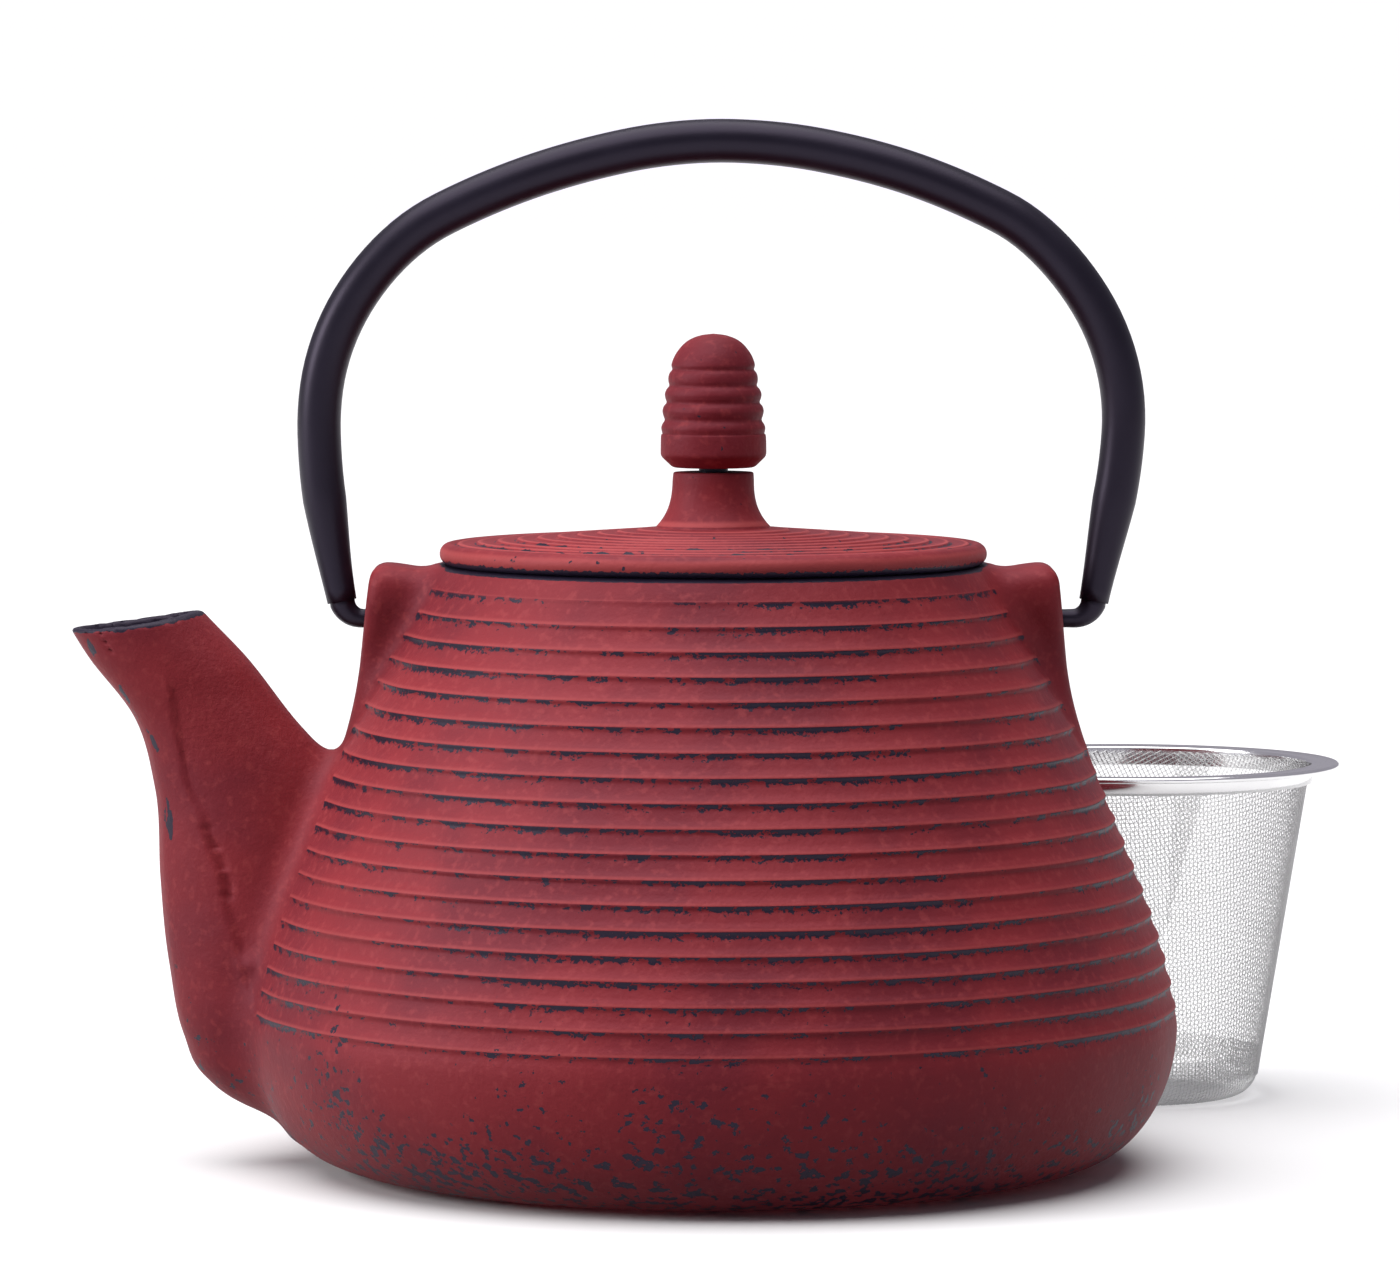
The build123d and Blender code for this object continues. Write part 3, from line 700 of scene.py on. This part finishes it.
def black_steel():
    """Satin black stove enamel on steel, with fine specks in its gloss."""
    tree = Tree("black_steel")
    cloud = tree.noise(14, 3)
    speck = tree.noise(0.5, 2, shift=3)
    colour = tree.mix(tree.ramp(cloud, 0.35, 0.7), (0.0035, 0.003, 0.007, 1), (0.007, 0.006, 0.012, 1))
    roughness = tree.blend(cloud, 0.34, 0.46)
    tree.shader.inputs["Specular IOR Level"].default_value = 0.34
    tree.shader.inputs["Specular Tint"].default_value = (0.86, 0.72, 1.0, 1)
    normal = tree.bump(speck, 0.03, 0.4)
    return tree.finish(Base_Color=colour, Roughness=roughness, Normal=normal)


def bright_steel(name, low, high, dark=0.76, light=0.9):
    """Pressed stainless steel with fine turning marks."""
    tree = Tree(name)
    tree.shader.inputs["Metallic"].default_value = 1.0
    lines = tree.noise(0.9, 3, stretch=(0.15, 0.15, 4))
    smear = tree.noise(9, 2, shift=1)
    colour = tree.mix(smear, (dark, dark, dark, 1), (light, light, light, 1))
    roughness = tree.blend(smear, low, high)
    normal = tree.bump(lines, 0.01, 0.35)
    return tree.finish(Base_Color=colour, Roughness=roughness, Normal=normal)


# --- Turned pieces ---
def spin(outline, centre=(0.0, 0.0), steps=256):
    """Surface of revolution round an upright axis, from a closed outline of (radius, height) points.
    Points on the axis become one vertex each."""
    vertices = []
    rings = []
    turns = np.arange(steps) * 2 * math.pi / steps
    for radius, height in outline:
        if radius < 1e-6:
            rings.append([len(vertices)] * steps)
            vertices.append((centre[0], centre[1], height))
        else:
            rings.append(list(range(len(vertices), len(vertices) + steps)))
            for turn in turns:
                x = centre[0] + radius * math.cos(turn)
                y = centre[1] + radius * math.sin(turn)
                vertices.append((x, y, height))
    faces = []
    closed = outline[0][0] > 1e-6
    for n in range(len(rings) if closed else len(rings) - 1):
        low, high = rings[n], rings[(n + 1) % len(rings)]
        for step in range(steps):
            following = (step + 1) % steps
            face = [low[step], low[following], high[following], high[step]]
            unique = list(dict.fromkeys(face))
            if len(unique) > 2:
                faces.append(unique)
    return np.array(vertices), faces


def rounded(points, radius, steps=4):
    """Outline with each inner corner replaced by a short curve."""
    points = [np.array(point, float) for point in points]
    result = [tuple(points[0])]
    for before, corner, after in zip(points, points[1:], points[2:]):
        back = before - corner
        ahead = after - corner
        reach = min(radius, 0.45 * np.linalg.norm(back), 0.45 * np.linalg.norm(ahead))
        start = corner + back / np.linalg.norm(back) * reach
        end = corner + ahead / np.linalg.norm(ahead) * reach
        for n in range(steps + 1):
            share = n / steps
            point = (1 - share) ** 2 * start + 2 * share * (1 - share) * corner + share**2 * end
            result.append(tuple(point))
    result.append(tuple(points[-1]))
    return result


LID_RADIUS = lid_high[0]
LID_RIM_THICKNESS = 3.9
LID_RIM_TOP = SHOULDER_HEIGHT + LID_RIM_THICKNESS
LID_RIM_WIDTH = 2.9
LID_RISE = 2.7
LID_RINGS = 10
LID_RING_DEPTH = 0.5
LID_UNDERSIDE = LID_RIM_TOP - 3.1
SKIRT_BOTTOM = lid_low[2]
SKIRT_RADIUS = 41.1
SKIRT_THICKNESS = 3.0
BOSS_RADIUS = 7.45
BOSS_FLARE = 3.0
BOSS_TOP = lid_high[2]
BOSS_TOP_RADIUS = 7.25
BORE_RADIUS = 2.65
BORE_STEP_HEIGHT = LID_UNDERSIDE + 4.0
THREAD_HOLE_RADIUS = 2.15


def lid_outline():
    ring_outer = LID_RADIUS - LID_RIM_WIDTH
    ring_pitch = (ring_outer - BOSS_RADIUS - BOSS_FLARE) / LID_RINGS
    points = [
        (THREAD_HOLE_RADIUS, LID_UNDERSIDE),
        (SKIRT_RADIUS - SKIRT_THICKNESS, LID_UNDERSIDE),
        (SKIRT_RADIUS - SKIRT_THICKNESS, SKIRT_BOTTOM),
        (SKIRT_RADIUS, SKIRT_BOTTOM),
        (SKIRT_RADIUS, SHOULDER_HEIGHT + 0.05),
    ]
    outline = rounded(points + [(LID_RADIUS - 1.6, SHOULDER_HEIGHT + 0.05)], 0.5)[:-1]
    rim_middle = (SHOULDER_HEIGHT + LID_RIM_TOP) / 2
    for degrees in range(-90, 91, 12):
        turn = math.radians(degrees)
        outline.append((
            LID_RADIUS - 2.0 + 2.0 * math.cos(turn),
            rim_middle + LID_RIM_THICKNESS / 2 * math.sin(turn),
        ))
    rings = [(ring_outer + 1.2, LID_RIM_TOP - 0.1)]
    for number in range(LID_RINGS):
        crest_radius = ring_outer - ring_pitch * number
        crest = LID_RIM_TOP + LID_RISE * number / LID_RINGS
        rings.append((crest_radius, crest - LID_RING_DEPTH))
        rings.append((crest_radius - 0.5, crest + 0.05))
    crown = LID_RIM_TOP + LID_RISE
    rings.append((BOSS_RADIUS + BOSS_FLARE, crown - 0.1))
    outline += rounded(rings + [(BOSS_RADIUS + BOSS_FLARE - 0.5, crown)], 0.4)[1:-1]
    boss_heights = np.linspace(crown + 0.25, BOSS_TOP - 1.5, 14)
    share = (boss_heights - crown) / (BOSS_TOP - crown)
    boss_radii = BOSS_TOP_RADIUS + (BOSS_RADIUS + BOSS_FLARE - BOSS_TOP_RADIUS) * (1 - share) ** 3.2
    outline += list(zip(boss_radii, boss_heights))
    outline += rounded([
        outline[-1],
        (BOSS_TOP_RADIUS - 0.1, BOSS_TOP),
        (BORE_RADIUS, BOSS_TOP),
        (BORE_RADIUS, BORE_STEP_HEIGHT),
        (THREAD_HOLE_RADIUS, BORE_STEP_HEIGHT),
        (THREAD_HOLE_RADIUS, LID_UNDERSIDE),
    ], 0.35)[1:]
    return outline[:-1]


def roughen(vertices, amount, length, seed, centre=(0.0, 0.0)):
    """Moves a casting's points a little in and out, as sand leaves it."""
    x, y, z = vertices.T
    push = amount * waves(x, y, z, length, seed)
    level = np.hypot(x - centre[0], y - centre[1]) + 1e-6
    hold = smoothstep(4, 8, level)
    vertices[:, 0] += push * hold * (x - centre[0]) / level
    vertices[:, 1] += push * hold * (y - centre[1]) / level
    return vertices


def build_lid(material):
    vertices, faces = spin(lid_outline(), steps=320)
    piece = add_mesh("lid_casting", roughen(vertices, 0.08, 16, 21), faces, "lid", material)
    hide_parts("lid")
    return piece


KNOB_RADIUS = knob_high[0]
# Height above the knob's foot and share of its radius: a band, four ribs and a rounded point.
KNOB_PROFILE = (
    (2.1, 1.0), (5.6, 0.998), (6.0, 0.972), (7.0, 0.992), (7.7, 0.975), (8.5, 0.928),
    (9.3, 0.952), (10.1, 0.968), (10.9, 0.945), (11.6, 0.89), (12.4, 0.912), (13.1, 0.922),
    (13.9, 0.892), (14.6, 0.835), (15.4, 0.85), (16.2, 0.848), (16.9, 0.822), (17.5, 0.775),
    (18.3, 0.79), (19.4, 0.755), (20.6, 0.69), (21.9, 0.58), (22.9, 0.44), (23.6, 0.24), (23.9, 0.0),
)


def knob_outline():
    """Half outline of the knob, from the blind hole for its stud round to the top."""
    bottom = knob_low[2]
    profile = np.array(KNOB_PROFILE)
    along = np.arange(len(profile))
    fine = np.linspace(0, len(profile) - 1, 6 * len(profile))
    heights = smooth_curve(along, profile[:, 0], fine)
    radii = KNOB_RADIUS * np.maximum(smooth_curve(along, profile[:, 1], fine), 0)
    thread = THREAD_HOLE_RADIUS - 0.13
    shank = stud_high[0] + 0.02
    foot = [(shank, bottom), (KNOB_RADIUS - 2.1, bottom), (KNOB_RADIUS, bottom + 2.1)]
    outline = rounded(foot + [(radii[3], bottom + heights[3])], 0.6)[:-1]
    outline += list(zip(radii[3:-1], bottom + heights[3:-1]))
    outline.append((0.0, knob_high[2]))
    inner = [(0.0, bottom + 12.3), (thread, bottom + 12.3), (thread, bottom + 1), (shank, bottom + 1)]
    return inner + outline


def build_knob(material):
    vertices, faces = spin(knob_outline(), steps=160)
    vertices = roughen(vertices, 0.06, 7, 31)
    piece = add_mesh("knob_casting", vertices, faces, "knob", material)
    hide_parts("knob")
    return piece


# --- Bail: tangent arcs from the crown down to the level pins ---
TUBE_RADIUS = 3.9
TUBE_END_RADIUS = 2.4
ROD_RADIUS = 2.1
PIN_RADIUS = 1.65
CROWN_ANGLE = 12.8
HAUNCH_RADIUS = 148.0
HAUNCH_HEADING = 26.1
SHOULDER_BEND = 40.5
SHOULDER_HEADING = 93.4
LEG_BEND = 88.0
LEG_HEADING = 101.1
HOOK_BEND = 3.8
HALF_SPAN = LUG_FACE + 1.2
BAIL_SHIFT = (tube_low[0] + tube_high[0]) / 2
PIN_END = 56.3


def arc_run(radius, start, end):
    """Outward and downward travel along an arc whose headings are degrees below level."""
    start, end = math.radians(start), math.radians(end)
    return np.array([radius * (math.sin(end) - math.sin(start)), radius * (math.cos(start) - math.cos(end))])


def bail_half():
    """Points, headings and kinds of one half of the bail: distance from its middle and height."""
    bends = [(HAUNCH_RADIUS, CROWN_ANGLE, HAUNCH_HEADING), (SHOULDER_BEND, HAUNCH_HEADING, SHOULDER_HEADING),
             (LEG_BEND, SHOULDER_HEADING, LEG_HEADING)]
    top = tube_high[2] - TUBE_RADIUS
    left = np.array([HALF_SPAN, top - PIVOT_HEIGHT])
    left -= sum(arc_run(*bend) for bend in bends) + arc_run(HOOK_BEND, LEG_HEADING, 180)
    crown = arc_run(1.0, 0, CROWN_ANGLE)
    leg = np.array([math.cos(math.radians(LEG_HEADING)), math.sin(math.radians(LEG_HEADING))])
    crown_radius, leg_length = np.linalg.solve(np.stack([crown, leg], axis=1), left)
    bends.insert(0, (crown_radius, 0, CROWN_ANGLE))
    point = np.array([0.0, top])
    tube = [point.copy()]
    for radius, start, end in bends:
        steps = max(3, int((end - start) * math.radians(1) * radius / 2.0))
        for n in range(steps):
            run = arc_run(radius, start + (end - start) * n / steps, start + (end - start) * (n + 1) / steps)
            point = point + run * (1, -1)
            tube.append(point.copy())
    leg_start = len(tube) - 1
    for n in range(8):
        point = point + leg * (1, -1) * leg_length / 8
        tube.append(point.copy())
    hook = []
    for n in range(12):
        start = LEG_HEADING + (180 - LEG_HEADING) * n / 12
        point = point + arc_run(HOOK_BEND, start, LEG_HEADING + (180 - LEG_HEADING) * (n + 1) / 12) * (1, -1)
        hook.append(point.copy())
    return np.array(tube), leg_start, np.array(hook)


def settle(points):
    """The small lean and unevenness that bending by hand leaves in the bail, none at the pivots."""
    x, z = points.T
    up = smoothstep(PIVOT_HEIGHT + 6, PIVOT_HEIGHT + 40, z)
    haunch = smoothstep(4, 38, np.abs(x)) * (1 - smoothstep(52, 68, np.abs(x)))
    x = x + up * (0.65 - 0.5 * np.sign(x) * smoothstep(40, 66, np.abs(x)))
    z = z + up * (0.35 + 0.65 * haunch + 0.25 * haunch * np.sign(x))
    return np.stack([x, z], axis=1)


def tube_mesh(points, radii, sides=40):
    """Tube along points in the XZ plane, with round ends closed by fans."""
    points = np.asarray(points, float)
    heading = np.gradient(points, axis=0)
    heading /= np.linalg.norm(heading, axis=1)[:, None]
    across = np.stack([-heading[:, 1], heading[:, 0]], axis=1)
    vertices = []
    for point, side, radius in zip(points, across, radii):
        for n in range(sides):
            turn = 2 * math.pi * n / sides
            out = radius * math.cos(turn)
            vertices.append((point[0] + side[0] * out, radius * math.sin(turn), point[1] + side[1] * out))
    faces = []
    for n in range(len(points) - 1):
        for side in range(sides):
            first = n * sides + side
            second = n * sides + (side + 1) % sides
            faces.append((first, first + sides, second + sides, second))
    for ring, order in ((0, 1), (len(points) - 1, -1)):
        centre = len(vertices)
        vertices.append((points[ring][0], 0.0, points[ring][1]))
        for side in range(sides):
            first = ring * sides + side
            second = ring * sides + (side + 1) % sides
            faces.append((centre, first, second) if order == 1 else (centre, second, first))
    return np.array(vertices), faces


def build_bail(material):
    """Tube with its tapered legs, and a hook rod at each end."""
    half, leg_start, hook = bail_half()
    radii = np.full(len(half), TUBE_RADIUS)
    share = np.linspace(0, 1, len(half) - leg_start)
    radii[leg_start:] = TUBE_RADIUS + (TUBE_END_RADIUS - TUBE_RADIUS) * smoothstep(-0.35, 1.15, share)
    radii[leg_start:] += TUBE_RADIUS - radii[leg_start]
    right = half + (BAIL_SHIFT, 0)
    left = half * (-1, 1) + (BAIL_SHIFT, 0)
    path = settle(np.vstack([left[::-1], right[1:]]))
    vertices, faces = tube_mesh(path, np.concatenate([radii[::-1], radii[1:]]))
    tube = add_mesh("bail_tube", vertices, faces, "handle", material)
    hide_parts("handle_tube")
    for side, name in ((-1, "hook_left"), (1, "hook_right")):
        inside = half[-3:-1]
        bend = np.vstack([inside, half[-1:], hook])
        bend = settle(bend * (side, 1) + (BAIL_SHIFT, 0))
        pin_start = bend[-1]
        pin_end = np.array([side * PIN_END, PIVOT_HEIGHT])
        pin = [pin_start + (pin_end - pin_start) * share for share in (0.15, 0.4, 0.7, 0.96, 1.0)]
        rod = np.vstack([bend, pin])
        stations = [0, 3, len(bend) - 3, len(bend)]
        radii_there = [2.0, ROD_RADIUS + 0.2, PIN_RADIUS + 0.1, PIN_RADIUS]
        sizes = np.interp(np.arange(len(rod)), stations, radii_there)
        sizes[-1] = PIN_RADIUS - 0.25
        vertices, faces = tube_mesh(rod, sizes, sides=32)
        piece = add_mesh(name + "_rod", vertices, faces, "handle", material)
        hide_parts(name)


# --- Infuser: a pressed rim and two woven pieces ---
WIRE_RADIUS = 0.078
WIRE_PITCH = 0.8
WEAVE_OFFSET = 0.075
INFUSER_CENTRE = ((rim_low[0] + rim_high[0]) / 2, (rim_low[1] + rim_high[1]) / 2)
FLANGE_RADIUS = (rim_high[0] - rim_low[0]) / 2
FLANGE_TOP = rim_high[2]
NECK_BOTTOM = rim_low[2]
NECK_INNER = 35.6
WALL_TOP_RADIUS = (wall_high[0] - wall_low[0]) / 2 - 0.3
WALL_BOTTOM_RADIUS = (base_high[0] - base_low[0]) / 2 - 0.6
WALL_BOTTOM = 4.0
SEAM_BEARING = math.radians(71)
SEAM_TOP_WIDTH = 9.0
SEAM_END_HEIGHT = 27.0
BASE_CORNER = 5.0


def build_rim(material):
    """Pressed flange with a rolled edge, and a neck that holds the woven wall."""
    edge = FLANGE_RADIUS - 0.55
    outline = rounded([
        (NECK_INNER + 0.55, NECK_BOTTOM),
        (NECK_INNER + 0.55, FLANGE_TOP - 0.75),
        (edge - 0.3, FLANGE_TOP - 0.95),
    ], 0.5)[1:]
    for degrees in range(-110, 81, 19):
        turn = math.radians(degrees)
        outline.append((edge + 0.55 * math.cos(turn), FLANGE_TOP - 0.56 + 0.55 * math.sin(turn)))
    outline += rounded([
        outline[-1],
        (edge - 0.6, FLANGE_TOP - 0.25),
        (NECK_INNER, FLANGE_TOP - 0.1),
        (NECK_INNER, NECK_BOTTOM),
        (NECK_INNER + 0.55, NECK_BOTTOM),
    ], 0.55)[1:]
    vertices, faces = spin(outline[:-1], INFUSER_CENTRE, steps=240)
    piece = add_mesh("infuser_flange", vertices, faces, "infuser", material)
    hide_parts("infuser_rim")


def woven(points, normals, inside):
    """Two sets of round wires over a grid of crossings, passing over and under each other.
    points and normals give each crossing's place, and inside says where there is cloth."""
    rows, columns = inside.shape
    checker = ((np.arange(rows)[:, None] + np.arange(columns)[None, :]) % 2) * 2 - 1
    all_vertices = []
    all_faces = []
    total = 0
    for along, sign in ((0, 1), (1, -1)):
        centre = points + normals * (checker * sign * WEAVE_OFFSET)[:, :, None]
        heading = np.gradient(points, axis=along)
        across = np.cross(heading, normals)
        across /= np.maximum(np.linalg.norm(across, axis=2), 1e-9)[:, :, None]
        number = np.full(inside.shape, -1, np.int64)
        number[inside] = np.arange(inside.sum())
        ring = [
            centre[inside]
            + WIRE_RADIUS * (math.cos(turn) * normals[inside] + math.sin(turn) * across[inside])
            for turn in (0, 2 * math.pi / 3, 4 * math.pi / 3)
        ]
        vertices = np.stack(ring, axis=1).reshape(-1, 3)
        first = number[:-1, :] if along == 0 else number[:, :-1]
        second = number[1:, :] if along == 0 else number[:, 1:]
        linked = (first >= 0) & (second >= 0)
        first, second = first[linked], second[linked]
        faces = []
        for side in range(3):
            following = (side + 1) % 3
            faces.append(np.stack([
                3 * first + side, 3 * second + side, 3 * second + following, 3 * first + following
            ], axis=1))
        all_vertices.append(vertices)
        all_faces.append(np.concatenate(faces) + total)
        total += len(vertices)
    return all_vertices, all_faces


def cone_cloth():
    """Flat wire cloth rolled into the wall's cone, with a wedge where its two edges overlap."""
    height = FLANGE_TOP - 0.9 - WALL_BOTTOM
    taper = math.atan2(WALL_TOP_RADIUS - WALL_BOTTOM_RADIUS, height)
    spread = math.sin(taper)
    far = WALL_TOP_RADIUS / spread
    near = WALL_BOTTOM_RADIUS / spread
    half_turn = math.pi * spread
    wedge = SEAM_TOP_WIDTH / far
    widest = far * math.sin(half_turn + wedge) + 1
    across = np.arange(-widest, widest, WIRE_PITCH)
    out = np.arange(near * math.cos(half_turn + wedge) - 1, far + 1, WIRE_PITCH)
    flat_x, flat_y = np.meshgrid(across, out, indexing="ij")
    reach = np.hypot(flat_x, flat_y)
    turn = np.arctan2(flat_x, flat_y)
    level = WALL_BOTTOM + (reach - near) * math.cos(taper)
    overlap = wedge * np.clip((level - SEAM_END_HEIGHT) / (FLANGE_TOP - SEAM_END_HEIGHT), 0, 1)
    inside = (reach > near) & (reach < far) & (turn < half_turn) & (turn > -half_turn - overlap)
    lift = 0.42 * smoothstep(-half_turn + 0.01, -half_turn - 0.01, turn)
    bearing = SEAM_BEARING + math.pi + turn / spread
    radius = reach * spread + lift
    points = np.stack([
        INFUSER_CENTRE[0] + radius * np.cos(bearing), INFUSER_CENTRE[1] + radius * np.sin(bearing), level
    ], axis=2)
    normals = np.stack([
        np.cos(bearing) * math.cos(taper), np.sin(bearing) * math.cos(taper), np.full_like(bearing, -spread)
    ], axis=2)
    return points, normals, inside


def cup_cloth():
    """Flat wire cloth pressed into the shallow cup that closes the bottom."""
    edge = WALL_BOTTOM_RADIUS - 0.15
    flat_edge = edge - BASE_CORNER
    corner = BASE_CORNER * math.pi / 2
    reach_end = flat_edge + corner + base_high[2] - BASE_CORNER
    line = np.arange(-reach_end - 1, reach_end + 1, WIRE_PITCH)
    flat_x, flat_y = np.meshgrid(line, line, indexing="ij")
    turn = math.radians(24)
    reach = np.hypot(flat_x, flat_y)
    bearing = np.arctan2(flat_y, flat_x) + turn
    bend = np.clip((reach - flat_edge) / BASE_CORNER, 0, math.pi / 2)
    rise = np.maximum(reach - flat_edge - corner, 0)
    radius = np.minimum(reach, flat_edge) + BASE_CORNER * np.sin(bend) + rise * 0.16
    lowest = WIRE_RADIUS + WEAVE_OFFSET
    level = lowest + BASE_CORNER * (1 - np.cos(bend)) + rise
    points = np.stack([
        INFUSER_CENTRE[0] + radius * np.cos(bearing), INFUSER_CENTRE[1] + radius * np.sin(bearing), level
    ], axis=2)
    lean = np.sin(bend)
    normals = np.stack([np.cos(bearing) * lean, np.sin(bearing) * lean, -np.cos(bend)], axis=2)
    return points, normals, reach < reach_end


def build_cloth(material):
    vertices, faces = woven(*cone_cloth())
    count = len(vertices[0])
    warp = add_mesh("infuser_wall_warp", vertices[0], faces[0], "infuser", material)
    weft = add_mesh("infuser_wall_weft", vertices[1], faces[1] - count, "infuser", material)
    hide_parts("infuser_wall")
    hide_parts("infuser_wall")
    vertices, faces = woven(*cup_cloth())
    base = add_mesh(
        "infuser_base_cloth", np.vstack(vertices), np.concatenate(faces), "infuser", material
    )
    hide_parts("infuser_base")


# --- Stage and light ---
def add_stage():
    """Pale floor, a broad overhead light, a key light at the left and an even white surround."""
    size = 30.0
    data = bpy.data.meshes.new("floor")
    corners = [(-size, -size, 0), (size, -size, 0), (size, size, 0), (-size, size, 0)]
    data.from_pydata(corners, [], [(0, 1, 2, 3)])
    floor = bpy.data.objects.new("floor", data)
    bpy.context.collection.objects.link(floor)
    tree = Tree("floor")
    data.materials.append(tree.finish(Base_Color=(0.93, 0.925, 0.93, 1), Roughness=0.9))
    tree.shader.inputs["Specular IOR Level"].default_value = 0.0

    floor.visible_diffuse = False

    world = bpy.data.worlds.new("surround")
    world.use_nodes = True
    nodes, links = world.node_tree.nodes, world.node_tree.links
    background = nodes["Background"]
    path = nodes.new("ShaderNodeLightPath")
    glossy = nodes.new("ShaderNodeMapRange")
    links.new(path.outputs["Is Glossy Ray"], glossy.inputs["Value"])
    glossy.inputs["To Min"].default_value = 0.15
    glossy.inputs["To Max"].default_value = 0.38
    strength = nodes.new("ShaderNodeMapRange")
    links.new(path.outputs["Is Camera Ray"], strength.inputs["Value"])
    links.new(glossy.outputs["Result"], strength.inputs["To Min"])
    strength.inputs["To Max"].default_value = 1.15
    links.new(strength.outputs["Result"], background.inputs["Strength"])
    background.inputs["Color"].default_value = (0.91, 0.87, 1.0, 1)
    bpy.context.scene.world = world

    add_light("overhead", "SUN", 3.5, (-0.14, -0.1, 1), (0, 0, 0), angle=math.radians(75))
    add_light("key", "AREA", 19, (-1.75, -0.42, 0.7), (0, 0, 0.08), shape="RECTANGLE", size=0.8, size_y=0.8)
    bpy.context.scene.view_settings.view_transform = "Standard"


def add_light(name, kind, energy, place, aim, **sizes):
    lamp = bpy.data.lights.new(name, kind)
    lamp.energy = energy
    for key, value in sizes.items():
        setattr(lamp, key, value)
    item = bpy.data.objects.new(name, lamp)
    bpy.context.collection.objects.link(item)
    item.location = place
    item.rotation_euler = (Vector(aim) - Vector(place)).to_track_quat("-Z", "Y").to_euler()


add_stage()
black = black_steel()
steel = bright_steel("bright_steel", 0.1, 0.2)
wire_steel = bright_steel("wire_steel", 0.25, 0.35, dark=0.52, light=0.68)
fastener_steel = bright_steel("fastener_steel", 0.3, 0.45)
build_pot(pot_paint())
lid_rings = (LID_RADIUS - LID_RIM_WIDTH, BOSS_RADIUS + BOSS_FLARE, LID_RINGS)
build_lid(cast_paint("lid_paint", SHOULDER_HEIGHT + 0.2, SHOULDER_HEIGHT + 1.9, rings=lid_rings))
build_knob(cast_paint("knob_paint", knob_low[2] - 1.0, knob_low[2] + 0.3))
build_bail(black)
build_rim(steel)
build_cloth(wire_steel)
for name, material in (("knob_stud", black), ("knob_washer", fastener_steel), ("knob_nut", fastener_steel)):
    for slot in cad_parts[name].material_slots:
        slot.material = material
